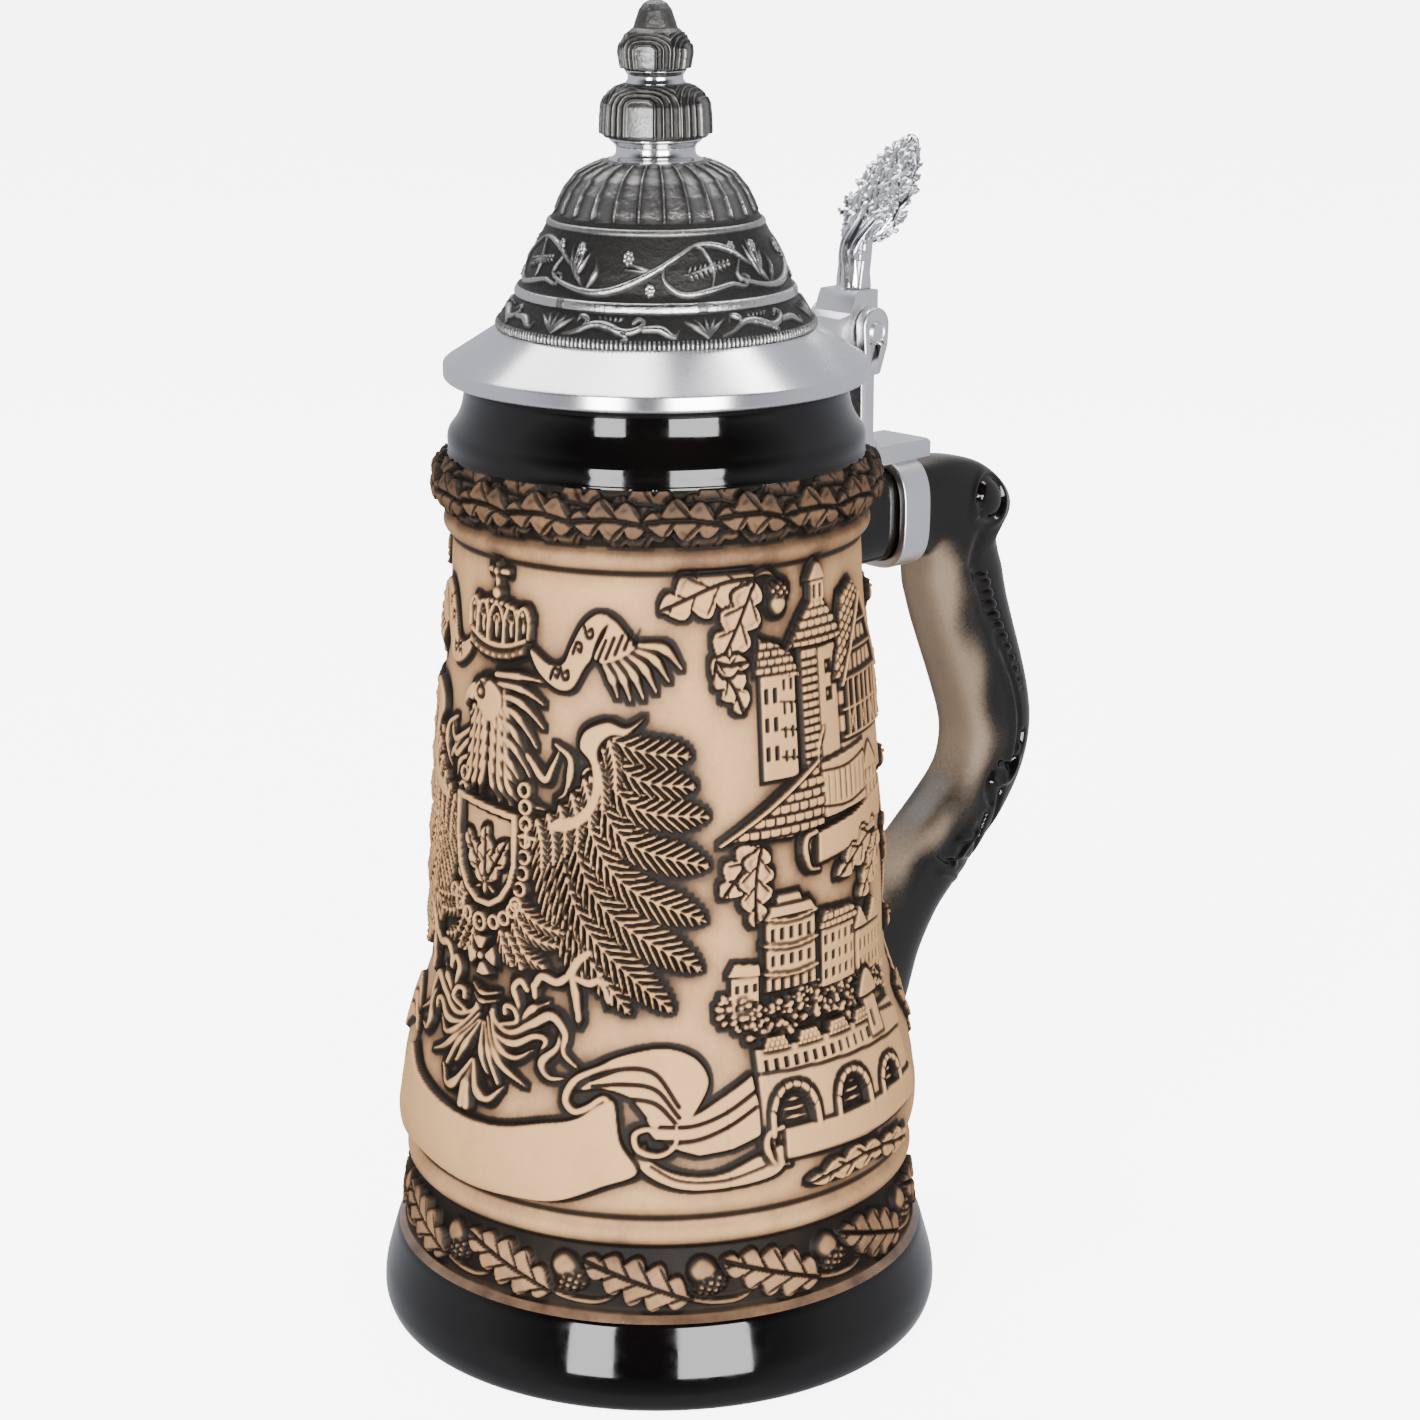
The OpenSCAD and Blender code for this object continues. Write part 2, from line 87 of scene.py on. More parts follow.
def blur(a, sigma):
    """Gaussian blur of a map whose rows go up and whose columns go round."""
    kernel, reach = gaussian(sigma)
    tall = np.pad(a, ((reach, reach), (0, 0)), mode="edge")
    out = sum(k * tall[i:i + a.shape[0]] for i, k in enumerate(kernel))
    wide = np.pad(out, ((0, 0), (reach, reach)), mode="wrap")
    return sum(k * wide[:, i:i + a.shape[1]] for i, k in enumerate(kernel))


def curve(points, per_span=6, closed=False):
    """Dense points on a Catmull-Rom curve through the given ones."""
    p = np.array(points, float)
    if len(p) == 2:
        return p
    if closed:
        p = np.vstack([p[-1], p, p[0], p[1]])
    else:
        p = np.vstack([2 * p[0] - p[1], p, 2 * p[-1] - p[-2]])
    out = []
    for a, b, c, d in zip(p, p[1:], p[2:], p[3:]):
        for t in np.arange(per_span) / per_span:
            out.append(0.5 * (2 * b + (c - a) * t + (2 * a - 5 * b + 4 * c - d) * t * t
                              + (3 * b - a - 3 * c + d) * t ** 3))
    if not closed:
        out.append(p[-2])
    return np.array(out)


def arc_length(line):
    """The length along a line at each of its points."""
    return np.concatenate([[0], np.cumsum(np.hypot(*np.diff(line, axis=0).T))])


def turns(count):
    """Evenly spaced angles from -2 pi up to just below 0, as a relief map's columns are."""
    return np.arange(count) / count * FULL_TURN - FULL_TURN


def circle_points(x, y, r, squash=1.0):
    a = np.linspace(0, FULL_TURN, 21)
    return np.stack([x + r * np.cos(a), y + r * squash * np.sin(a)], 1)


def rect(a0, z0, a1, z1):
    return [(a0, z0), (a1, z0), (a1, z1), (a0, z1)]


# ---------------------------------------------------------------- relief drawing

class Relief:
    """A height map, in mm, over a band that goes all the way round a turned surface.

    x is distance round in mm (azimuth times mm_per_deg) and y is height in mm. Points are given
    as (azimuth, height); flip mirrors what is drawn about the azimuth in axis, and weight
    widens every stroke.
    """

    def __init__(self, z0, z1, mm_per_deg, step, weight=1.0):
        self.k = mm_per_deg
        self.columns = int(round(360 * mm_per_deg / step / 8)) * 8
        self.rows = int(round((z1 - z0) / step)) + 1
        self.x = np.arange(self.columns) / self.columns * 360 * self.k - 360 * self.k
        self.y = np.linspace(z0, z1, self.rows)
        self.h = np.zeros((self.rows, self.columns), np.float32)
        self.axis = -180.0
        self.flip = False
        self.weight = weight

    def mm(self, points):
        """Points in mm on the map from (azimuth, height), mirrored while flip is set."""
        p = np.array(points, float).reshape(-1, 2).copy()
        if self.flip:
            p[:, 0] = 2 * self.axis - p[:, 0]
        p[:, 0] *= self.k
        return p

    def window(self, p, pad):
        """Slices and coordinates of the part of the map round some points; it may be empty."""
        x0, y0 = p.min(0) - pad
        x1, y1 = p.max(0) + pad
        rows = slice(*np.searchsorted(self.y, [y0, y1]))
        columns = slice(*np.searchsorted(self.x, [x0, x1]))
        xx, yy = np.meshgrid(self.x[columns], self.y[rows])
        return (rows, columns), xx, yy

    def turned(self, p, reach, lean):
        """Coordinates in mm round one point, turned by lean degrees."""
        part, xx, yy = self.window(p, reach)
        a = math.radians(-lean if self.flip else lean)
        dx, dy = xx - p[0, 0], yy - p[0, 1]
        return part, dx * math.cos(a) + dy * math.sin(a), dy * math.cos(a) - dx * math.sin(a)

    def near(self, p, pad):
        """Round a line: distance to it, share of its length, signed distance across, its length."""
        part, xx, yy = self.window(p, pad)
        a = p[:-1]
        d = p[1:] - a
        length = np.maximum(np.hypot(d[:, 0], d[:, 1]), 1e-9)
        start = np.concatenate([[0], np.cumsum(length)[:-1]])
        dx = xx[..., None] - a[:, 0]
        dy = yy[..., None] - a[:, 1]
        t = np.clip((dx * d[:, 0] + dy * d[:, 1]) / length ** 2, 0, 1)
        gap = (dx - t * d[:, 0]) ** 2 + (dy - t * d[:, 1]) ** 2
        k = gap.argmin(-1)
        dist, dx, dy, t = (np.take_along_axis(v, k[..., None], -1)[..., 0] for v in (gap, dx, dy, t))
        dist = np.sqrt(dist)
        side = np.sign(d[k, 0] * dy - d[k, 1] * dx) * dist
        return part, dist, (start[k] + t * length[k]) / length.sum(), side, length.sum()

    def inside(self, p):
        """Distance into a polygon, negative outside it."""
        pad = 0.5
        closed = np.vstack([p, p[:1]])
        part, dist = self.near(closed, pad)[:2]
        xx, yy = self.window(closed, pad)[1:]
        odd = np.zeros(xx.shape, bool)
        for (x0, y0), (x1, y1) in zip(closed[:-1], closed[1:]):
            if y0 != y1:
                odd ^= ((y0 > yy) != (y1 > yy)) & (xx < (x1 - x0) * (yy - y0) / (y1 - y0) + x0)
        return part, np.where(odd, dist, -dist)

    def raise_to(self, part, rise):
        """Raises a part of the map to what is given, where it is lower."""
        self.h[part] = np.maximum(self.h[part], rise)

    def stroke(self, p, width, height, tips):
        """A rounded ridge along a line in mm, narrower towards its tips."""
        part, dist, t = self.near(p, width)[:3]
        start, end = tips
        share = np.minimum(start + (1 - start) * t / 0.45, end + (1 - end) * (1 - t) / 0.45)
        half = width / 2 * np.clip(share, 0.05, 1)
        form = np.sqrt(np.clip(1 - (dist / half) ** 2, 0, 1))
        self.raise_to(part, height * form * np.clip(share, 0.4, 1))

    def ridge(self, points, width, height, tips=(0.3, 0.3), smooth=True):
        """A rounded stroke; tips gives its width share at each end."""
        p = self.mm(points)
        self.stroke(curve(p) if smooth else p, width * self.weight, height, tips)

    def ring(self, az, z, r, width, height):
        x, y = self.mm([(az, z)])[0]
        self.stroke(circle_points(x, y, r), width, height, (1, 1))

    def groove(self, points, width, depth, smooth=True):
        """A soft cut along a line, shallower in the ground than in a raised shape."""
        p = self.mm(points)
        part, dist = self.near(curve(p) if smooth else p, 1.5 * width)[:2]
        h = self.h[part]
        cut = depth * bell(dist, 0.5 * width)
        h[...] = np.where(h > 0.02, np.maximum(h - cut, -0.2), h - 0.4 * cut)

    def plate(self, points, height, edge=0.6, smooth=False):
        """A flat raised shape with a rounded edge."""
        p = self.mm(points)
        part, d = self.inside(curve(p, closed=True) if smooth else p)
        self.raise_to(part, height * np.sqrt(smooth01(d / edge)))

    def sink(self, points, level, edge=0.25):
        """Lowers the inside of a shape to a level, as in a window or an arch."""
        part, d = self.inside(self.mm(points))
        h = self.h[part]
        h[...] = np.where(d > 0, h + (np.minimum(level, h) - h) * smooth01(d / edge), h)

    def ball(self, az, z, rx, rz, height):
        p = self.mm([(az, z)])
        part, u, v = self.turned(p, max(rx, rz) + 0.3, 0)
        self.raise_to(part, height * np.sqrt(np.clip(1 - (u / rx) ** 2 - (v / rz) ** 2, 0, 1)))

    def feather(self, points, width, height, pitch=2.0, barb=1.3):
        """A feather along a line: a raised vane with a quill and slanting barbs."""
        part, dist, t, side, length = self.near(curve(self.mm(points)), width)
        taper = np.minimum(0.55 + t * 2, np.sqrt(np.clip(1 - t, 0, 1)) * 2.2)
        wave = 0.5 + 0.5 * np.cos(FULL_TURN * (t * length - 1.3 * np.abs(side)) / pitch)
        half = width / 2 * np.clip(taper, 0.08, 1) * (0.62 + 0.38 * wave)
        form = np.sqrt(np.clip(1 - (dist / np.maximum(half, 0.01)) ** 2, 0, 1))
        quill = bell(dist, 0.3)
        gap = (1 - wave ** 0.85) * (1 - 0.85 * quill)
        top = height * (0.6 + 0.4 * form) - barb * gap + 0.15 * quill
        top = np.maximum(np.where(form > 0.25, top, top * form / 0.25), 0.08)
        h = self.h[part]
        h[...] = np.where(dist < half, top, h)

    def oak_leaf(self, points, width, height, lobes, hollow=0.2):
        """An oak leaf along its midrib, from stalk to tip, with a dark gap round it."""
        part, dist, t, side, length = self.near(curve(self.mm(points)), width * 0.8)
        body = np.sin(np.pi * np.clip(t, 0, 1) ** 0.78) ** 0.62
        phase = lobes * t + 0.2 * np.sign(side)
        lobe = np.abs(np.sin(np.pi * phase))
        half = np.maximum(width / 2 * body * (0.46 + 0.54 * lobe ** 0.7), 0.02)
        rim = bell(half - dist - 0.5, 0.4)
        rib = bell(dist, 0.26)
        lean = lobes * (dist - 0.4 * width) / length
        vein = bell(((phase - lean) % 1 - 0.5) * length / lobes, 0.22)
        vein *= np.clip(1.25 - dist / half, 0, 1)
        round_edge = np.sqrt(smooth01(np.clip((half - dist) / 0.45, 0, 1)))
        top = height * round_edge * (0.97 - hollow + 0.03 * lobe ** 0.8 + hollow * rim)
        top -= height * np.maximum(0.8 * rib, 0.55 * vein)
        along = (t > 0.001) & (t < 0.999)
        h = self.h[part]
        around_it = np.where(along & (dist < half + 0.45), np.minimum(h, 0.3 * height), h)
        h[...] = np.where(along & (dist < half), np.maximum(top, 0.05), around_it)

    def acorn(self, az, z, size, lean):
        """A nut with its cross-hatched cup below it, turned by lean degrees."""
        part, u, v = self.turned(self.mm([(az, z)]), 1.6 * size, lean)
        u, v = u / size, v / size
        nut = np.sqrt(np.clip(1 - (u / 0.72) ** 2 - ((v - 0.35) / 0.8) ** 2, 0, 1))
        cup = np.sqrt(np.clip(1 - (u / 0.88) ** 2 - ((v + 0.35) / 0.62) ** 2, 0, 1)) * (v < 0.12)
        pitch = 1.7 / size
        hatch = np.maximum(np.cos(FULL_TURN * (u + v) / pitch), np.cos(FULL_TURN * (u - v) / pitch))
        self.raise_to(part, np.maximum(1.6 * nut, 1.9 * cup - 0.7 * np.clip(hatch, 0, 1) * (cup > 0.2)))

    def pattern(self, points, pitch, depth, kind="tiles", angle=0.0):
        """Cuts tiles, bricks or boards into what is inside a shape."""
        p = self.mm(points)
        part, d = self.inside(p)
        a = math.radians(-angle if self.flip else angle)
        xx, yy = np.meshgrid(self.x[part[1]] - p[0, 0], self.y[part[0]] - p[0, 1])
        u = xx * math.cos(a) + yy * math.sin(a)
        v = yy * math.cos(a) - xx * math.sin(a)
        row = np.floor(v / pitch)
        fu = np.abs((u / pitch / (1.15 if kind == "tiles" else 1.7) + 0.5 * (row % 2)) % 1 - 0.5)
        fv = (v / pitch) % 1
        if kind == "boards":
            cut = np.abs(np.sin(np.pi * u / pitch)) < 0.34
        elif kind == "bricks":
            cut = (fv < 0.22) | (fu > 0.44)
        else:
            cut = np.clip(1.3 - 3.2 * fv * (1 - 1.1 * np.clip(fu - 0.2, 0, 1)), 0, 1) * 0.8
            cut = np.maximum(cut, (fu > 0.42) * 0.9)
        h = self.h[part]
        h[...] = np.where(d > 0.05, h - depth * cut, h)

    def tiled(self, points, height, edge, pitch, depth, angle=0.0):
        """A plate with tiles cut into it."""
        self.plate(points, height, edge)
        self.pattern(points, pitch, depth, angle=angle)


# ---------------------------------------------------------------- picture on the vessel

def draw_wing(r):
    """One wing of the bird: bone, scrolled shoulder and barbed feathers."""
    feathers = [
        ([(-146, 124), (-138, 122), (-126, 121)], 5.0), ([(-148, 122), (-139, 117), (-125, 115.5)], 5.4),
        ([(-149, 120), (-140, 112), (-122, 110)], 5.8), ([(-151, 117), (-142, 106), (-122, 101)], 6.2),
        ([(-154, 113), (-144, 99), (-123, 91)], 6.4), ([(-157, 110), (-148, 94), (-124, 82)], 6.6),
        ([(-160, 108), (-152, 90), (-131, 74.5)], 6.4), ([(-163, 107), (-156, 90), (-141, 74)], 5.8),
        ([(-165, 105), (-160, 92), (-151, 79)], 5.2)
    ]
    for line, width in feathers[::-1]:
        r.feather(line, width * 1.12, 1.45)
    for k in range(7):
        az = -165 + 3.1 * k
        z = 104 + 1.1 * k + 0.25 * k * k
        r.feather([(az, z + 4), (az + 1.5, z), (az + 1.7, z - 5)], 3.4, 1.45, pitch=1.3, barb=0.5)
    r.plate([(-163, 106.5), (-160, 109.5), (-155, 110.5), (-151.5, 114), (-151.5, 119), (-154.5, 122),
             (-153, 125.5), (-147, 127.5), (-142, 126.6), (-137, 128.3), (-141.5, 124.6), (-146, 124),
             (-148.5, 121.5), (-147, 117), (-148.5, 111.5), (-153, 107.5), (-158.5, 106)],
            1.55, edge=1.1, smooth=True)
    for line in ([(-172, 121), (-168, 118.5), (-163.5, 115.5), (-161.5, 118), (-159.5, 121.5)],
                 [(-161, 122), (-156.5, 119.5), (-157.5, 114), (-160.5, 112)],
                 [(-171, 113), (-167, 110.5), (-163.5, 110)]):
        r.ridge(line, 1.8, 1.2, tips=(0.4, 0.15))


def draw_tail(r):
    """Half of the scrolled tail and the leg on that side."""
    mid = -181
    strokes = [
        ([(0, 60), (0.4, 56), (0.8, 53)], 2.6, (0.3, 0.9)),
        ([(0.3, 61), (3.2, 56.6), (6.6, 55.4), (10.2, 58.2)], 2.4, (0.4, 0.12)),
        ([(0.3, 68), (2.6, 63.5), (5.2, 60), (7, 60.4)], 2.0, (0.3, 0.3)),
        ([(1, 68), (5, 63.4), (8.6, 58.6)], 1.9, (0.3, 0.5)),
        ([(1.5, 69), (5, 65.2), (9.7, 61.6), (16, 59.2)], 2.1, (0.3, 0.12)),
        ([(2, 70), (7, 65.2), (11.8, 63.6), (16.5, 65.6)], 1.9, (0.3, 0.12)),
        ([(2.2, 71), (5, 67), (11.3, 66), (16.5, 68), (19.6, 67.6), (18.4, 65)], 1.9, (0.3, 0.5)),
        ([(2.5, 72), (4, 69), (9.7, 67.6), (15.4, 70), (20.6, 72.2), (24.3, 69.3), (24.3, 66),
          (29.4, 63.2)], 2.5, (0.3, 0.12)),
        ([(22.8, 69.6), (22.7, 66.8), (19.6, 64), (21.6, 61.6), (25.4, 61.8)], 2.1, (0.3, 0.12)),
        ([(5.6, 68.4), (11.3, 69.8), (10.4, 72), (7.6, 72.2), (7.4, 70.8)], 1.5, (0.5, 0.8)),
        ([(12, 70.2), (11.3, 73.2), (9.9, 76), (11.8, 77.6), (13.6, 76.2)], 1.9, (0.5, 0.8)),
        ([(12.6, 70.4), (15.4, 72.8), (19.4, 74.4)], 2.2, (0.7, 0.2))
    ]
    r.axis = mid
    for line, width, tips in strokes:
        r.ridge([(mid + d, z) for d, z in line], width, 1.5, tips=tips)
    r.axis = -180
    for line in ([(-171.5, 88), (-168, 83), (-162, 81)], [(-171, 90), (-166, 86.4), (-158.5, 85.4)],
                 [(-171, 92), (-164, 89), (-157, 88)], [(-173.5, 86), (-170.5, 82.5), (-168.6, 79.6)],
                 [(-175.5, 86), (-174, 82.6), (-171.5, 80)]):
        r.feather(line, 3.4, 1.4, pitch=1.6, barb=1.1)
    r.ridge([(-155.5, 80.6), (-153.4, 83.4), (-151, 85)], 2.6, 1.6, tips=(1, 0.9))
    for line in ([(-155.6, 80.4), (-159, 78.8), (-163, 79.4), (-165.4, 77)],
                 [(-155, 80.4), (-151, 79.4), (-148.4, 80), (-146.6, 78)],
                 [(-155.2, 80.6), (-154.2, 77), (-153.8, 74)]):
        r.ridge(line, 2.3, 1.6, tips=(0.9, 0.8))
        az, z = line[-1]
        r.ridge([(az, z + 0.4), (az + 0.4, z - 1.4), (az + 0.2, z - 3.4)], 1.6, 1.4, tips=(1, 0.15))


def draw_pendant(r):
    """The lowest rings of the collar, the splayed cross under them and the tail's bands below it."""
    mid = -182.7
    for side in (-1, 1):
        for d, z in ((4.9, 87.3), (8.3, 88.6), (11, 90.4)):
            r.ring(mid + side * d, z, 1.15, 0.95, 1.5)
    r.ring(mid, 86.6, 1.5, 1.1, 1.6)
    r.ball(mid, 86.6, 0.6, 0.6, 1.5)
    az, z = -182, 80.3
    for turn in range(4):
        a = math.radians(90 * turn + 8)
        arm = [(0.9, -0.6), (3.6, -2.4), (4.1, 0), (3.6, 2.4), (0.9, 0.6)]
        r.plate([(az + (u * math.cos(a) - v * math.sin(a)) * 1.3, z + u * math.sin(a) + v * math.cos(a))
                 for u, v in arm], 1.5, edge=0.7)
    r.ball(az, z, 1.1, 1.1, 1.8)
    r.ridge([(-185.6, 74.2), (-181, 73.2), (-176.6, 74)], 1.2, 1.7, tips=(0.5, 0.5))
    r.ridge([(-184.8, 72.4), (-181, 71.7), (-177, 72.4)], 1.2, 1.7, tips=(0.5, 0.5))


def draw_collar(r):
    """Half of the ring collar round the shield."""
    for k in range(8):
        r.ring(-168.37 - 0.12 * (k - 2.5) ** 2, 113 - 3.05 * k, 1.15, 0.95, 1.45)
    r.ridge([(-170.2, 104.6), (-165.6, 104.6)], 1.2, 1.6, tips=(1, 1))
    r.ridge([(-168, 106.4), (-168, 102.8)], 1.2, 1.6, tips=(1, 1))


def draw_head(r):
    """Neck and head of the bird, which looks to the left."""
    for row in range(6):
        z = 112.5 + 2.7 * row
        for side in (-1, 1):
            for k in range(3):
                az = -181.5 + side * (0.9 + k * (2.6 - 0.15 * row))
                tip = (az + side * (3 + 1.2 * k), z - 3)
                r.ridge([(az, z + 4), (az + side * 1.2, z + 0.6), tip], 1.9, 1.75 - 0.1 * k,
                        tips=(0.9, 0.12))
    for az, z, out, drop in ((-177, 132.6, 11.5, 0.2), (-177, 131, 12.5, -2.4), (-177, 129, 12.5, -4.6),
                             (-177.5, 127, 11, -6.2), (-178, 124.6, 9.5, -7), (-178, 121.6, 10, -6.4),
                             (-178.5, 118.5, 9, -6)):
        r.ridge([(az - 3, z), (az + out * 0.45, z + 0.5 + 0.2 * drop), (az + out, z + drop)], 2.0, 1.7,
                tips=(0.8, 0.12))
    r.plate([(-189.5, 127.4), (-188.6, 130.3), (-185, 132), (-180.5, 132), (-176.5, 130), (-176, 126.5),
             (-179, 123.5), (-183, 123), (-186, 124.8)], 1.75, edge=1.6, smooth=True)
    r.plate([(-187, 130.6), (-190.6, 129.6), (-192.4, 126.6), (-192, 124.4), (-190.2, 126.2),
             (-187.4, 126.6)], 1.9, edge=0.9, smooth=True)
    r.ridge([(-187.2, 125.2), (-189.8, 124.2), (-191, 122.6)], 1.1, 1.3, tips=(0.9, 0.3))
    r.groove([(-186.5, 126.6), (-190.4, 126.6)], 0.45, 0.7)
    r.ball(-184.9, 128.9, 0.95, 0.85, 2.1)
    r.groove(circle_points(-184.9, 128.9, 1.6, squash=0.72), 0.4, 0.5)
    r.ridge([(-187, 130.6), (-184, 131.2), (-181.5, 130)], 0.9, 2.2, tips=(0.3, 0.3))
    for line in ([(-190, 121.5), (-194, 119.5), (-198, 118), (-201, 119.5), (-200.5, 122)],
                 [(-194, 119), (-199, 115.5), (-202.5, 113.5)],
                 [(-190, 116.5), (-194.5, 114.5), (-197, 111.5)]):
        r.ridge(line, 1.6, 1.1, tips=(0.6, 0.3))


def draw_shield(r):
    """Plain shield with a generic leaf sprig."""
    outline = [(-193, 110), (-170.4, 108.6), (-170.2, 99), (-171.6, 95), (-174.6, 91.6),
               (-178.6, 89.8), (-183.6, 89.9), (-188, 92), (-191.4, 96), (-192.8, 102)]
    r.plate(outline, 1.9, edge=0.5)
    mid, mid_z = -181.6, 99.2
    inner = [(mid + (az - mid) * 0.87, mid_z + (z - mid_z) * 0.87) for az, z in outline]
    r.sink(inner, 0.45, edge=0.3)
    for lean, base in ((-1, 94), (1, 94), (0, 95)):
        line = [(mid, base), (mid + lean * 4.4, base + 5), (mid + lean * 8, 105.5 - abs(lean) * 2)]
        r.oak_leaf(line, 4.6, 1.3, 3)
    for side in (-1, 1):
        r.ridge([(mid, 94), (mid + 4.6 * side, 92.6), (mid + 6.4 * side, 95.4)], 0.9, 1.2, tips=(0.6, 0.3))
    r.ridge([(mid, 96), (mid, 90.4)], 1.0, 1.2)


def draw_crown(r):
    """Generic arched crown with a cross on top."""
    mid = -181
    arc = [(mid + d, 135 + 0.016 * d * d) for d in (-11, -5.5, 0, 5.5, 11)]
    r.plate(arc + [(az, z + 3.6) for az, z in arc[::-1]], 1.5, edge=0.5)
    r.groove([(az, z + 2.2) for az, z in arc], 0.5, 0.6)
    for d in np.arange(-9.6, 10, 2.4):
        r.ball(mid + d, 136.1 + 0.016 * d * d, 0.6, 0.5, 1.9)
    for d, wide in ((-9.6, 3.6), (-5.4, 4.6), (0, 6), (5.4, 4.6), (9.6, 3.6)):
        foot = 138.6 + 0.016 * d * d
        peak = foot + 6.2 - 0.012 * d * d
        half = wide / 2
        panel = [(mid + d - half, foot), (mid + d - half, foot + 3.4), (mid + d - half * 0.4, peak),
                 (mid + d + half * 0.4, peak), (mid + d + half, foot + 3.4), (mid + d + half, foot)]
        r.plate(panel, 0.5, edge=0.4)
        r.ridge(panel, 0.95, 1.5, tips=(1, 1))
        r.ridge([(mid + d, foot + 0.6), (mid + d, peak - 2)], 0.9, 1.3, tips=(0.8, 0.8))
        r.ring(mid + d, foot + 4, 0.8, 0.5, 1.3)
    for d in np.arange(-11.4, 11.5, 1.9):
        r.ball(mid + d, 145.6 - 0.016 * d * d, 0.78, 0.66, 1.6)
    r.ball(mid, 147.2, 1.7, 1.5, 1.7)
    for line in ([(mid, 148), (mid, 154)], [(mid - 3.4, 151.2), (mid + 3.4, 151.2)]):
        r.ridge(line, 2.0, 1.5, tips=(1.2, 1.2))
    r.ball(mid, 151.2, 1.0, 1.0, 1.8)


def draw_ribbon_end(r):
    """Half of the ribbon under the crown, with its fold and its hanging plume."""
    r.plate([(-169.5, 138.6), (-166.8, 134.6), (-161, 131.8), (-156.5, 132.2), (-153.2, 136),
             (-151.2, 138), (-149, 142.4), (-145.5, 145), (-149.5, 146.2), (-154, 144), (-157.2, 140),
             (-159.4, 136.8), (-163.4, 136.4)], 1.0, edge=0.5, smooth=True)
    for az, z, sign in ((-161.5, 134.6, 1), (-158.6, 134.9, -1), (-155.2, 139.6, 1), (-152.2, 142.6, -1)):
        turn = [(az - 1.3, z - 0.9 * sign), (az - 0.4, z + 0.9 * sign), (az + 0.9, z + 0.7 * sign),
                (az + 0.8, z - 0.5 * sign), (az, z - 0.2 * sign)]
        r.groove(turn, 0.6, 0.9)
    r.plate([(-146, 145.4), (-141.5, 142.2), (-139.6, 140.4), (-143, 138.2), (-148.4, 137),
             (-151, 138.2), (-148.5, 142.2)], 1.2, edge=0.6, smooth=True)
    for k in range(6):
        a = k / 5
        tip = (-128 - 16.5 * a, 136.4 - 5.6 * math.sin(a * 2.0))
        start = (-139 - 9.5 * a, 140.6 - 3 * a)
        mid = ((start[0] + tip[0]) / 2 + 0.8, (start[1] + tip[1]) / 2 + 1.6 - 1.5 * a)
        r.ridge([start, mid, tip], 2.3, 1.5, tips=(0.55, 0.2))
    for k in range(5):
        r.groove([(-150 + 2.4 * k, 137.2 + 0.9 * k), (-147.6 + 2.2 * k, 141.4 + 0.5 * k)], 0.6, 0.8)


def draw_banner(r):
    """Large blank banner under the bird with its folded, striped tail on the right."""
    top = [(-208, 57.4), (-200, 54.3), (-190, 52.3), (-180, 51.4), (-170, 51.8), (-160, 53.9),
           (-153, 55.4), (-147, 58.6)]
    low = [(-138.4, 46.4), (-146, 43.2), (-156, 39.4), (-166, 38.4), (-180, 38), (-196, 39.6), (-209, 42)]
    fold = [(-153, 60), (-149, 64.4), (-142, 67), (-133, 68.2), (-126, 66.4), (-123, 62.5), (-125, 58.4),
            (-129.4, 54), (-134, 52.6), (-137, 56), (-141, 59.4), (-147, 60.6)]
    r.plate(fold, 1.0, edge=0.6, smooth=True)
    for lift in (0, 2.6, 5):
        r.groove([(-149, 62.4 - lift * 0.5), (-142, 64.4 - lift), (-135, 63.6 - lift),
                  (-130, 58 - 0.7 * lift)], 0.6, 0.9)
    tail = [(-137.5, 56.6), (-131, 55.2), (-125, 57.4), (-119, 60), (-113, 62.6), (-112, 57), (-112, 51.6),
            (-119, 49.6), (-126, 49), (-132, 50.6), (-136, 53)]
    r.plate(tail, 1.0, edge=0.6)
    for lift in (0, 2.6):
        r.groove([(-134, 54.6 - lift), (-127, 54.6 - lift), (-120, 56.4 - lift), (-113, 59.4 - lift)],
                 0.6, 0.9)
    under = [(-137, 52), (-135.6, 48.6), (-130, 46.2), (-122, 45.8), (-113, 48.4), (-107, 49.6), (-107, 46),
             (-110.6, 43.6), (-121, 42.6), (-130, 43), (-137, 45.8), (-140, 49.4)]
    r.plate(under, 1.1, edge=0.6, smooth=True)
    r.groove([(-136, 47.6), (-130, 44.9), (-121, 44.4), (-112, 46)], 0.5, 0.6)
    r.ridge([(-130.6, 55), (-131, 51.4), (-134.4, 49.6), (-138.6, 50.6), (-139.4, 53.2), (-136.6, 54.2),
             (-134.8, 52.8)], 1.6, 1.6, tips=(0.5, 0.7))
    r.plate(top + [(-143.6, 58.8), (-142, 52)] + low, 1.5, edge=0.7, smooth=True)
    r.ridge([(-140.6, 66.6), (-146.4, 64.6), (-152.6, 62), (-154.6, 58.6), (-152.6, 56.6), (-149.6, 57.4),
             (-146.4, 59.2), (-144.4, 58)], 1.9, 1.9, tips=(0.4, 0.7))


def draw_left_banner_end(r):
    """The folded tail on the other side of the banner."""
    r.flip = True
    fold = [(-153, 59), (-149, 63.5), (-142, 67), (-135, 66.6), (-129, 62), (-126, 56), (-133, 54),
            (-140, 57.6), (-147, 60.4)]
    r.plate(fold, 0.95, edge=0.6, smooth=True)
    for lift in (0, 2.4):
        r.groove([(-150, 62 - lift * 0.6), (-143, 64.6 - lift), (-134, 62 - lift)], 0.55, 0.6)
    r.flip = False


def draw_windows(r, az0, z0, columns, rows, step, size):
    """A grid of sunk windows from its lowest left corner."""
    for i in range(columns):
        for j in range(rows):
            az = az0 + i * step[0]
            z = z0 + j * step[1]
            r.sink(rect(az, z, az + size[0], z + size[1]), 0.35, edge=0.15)


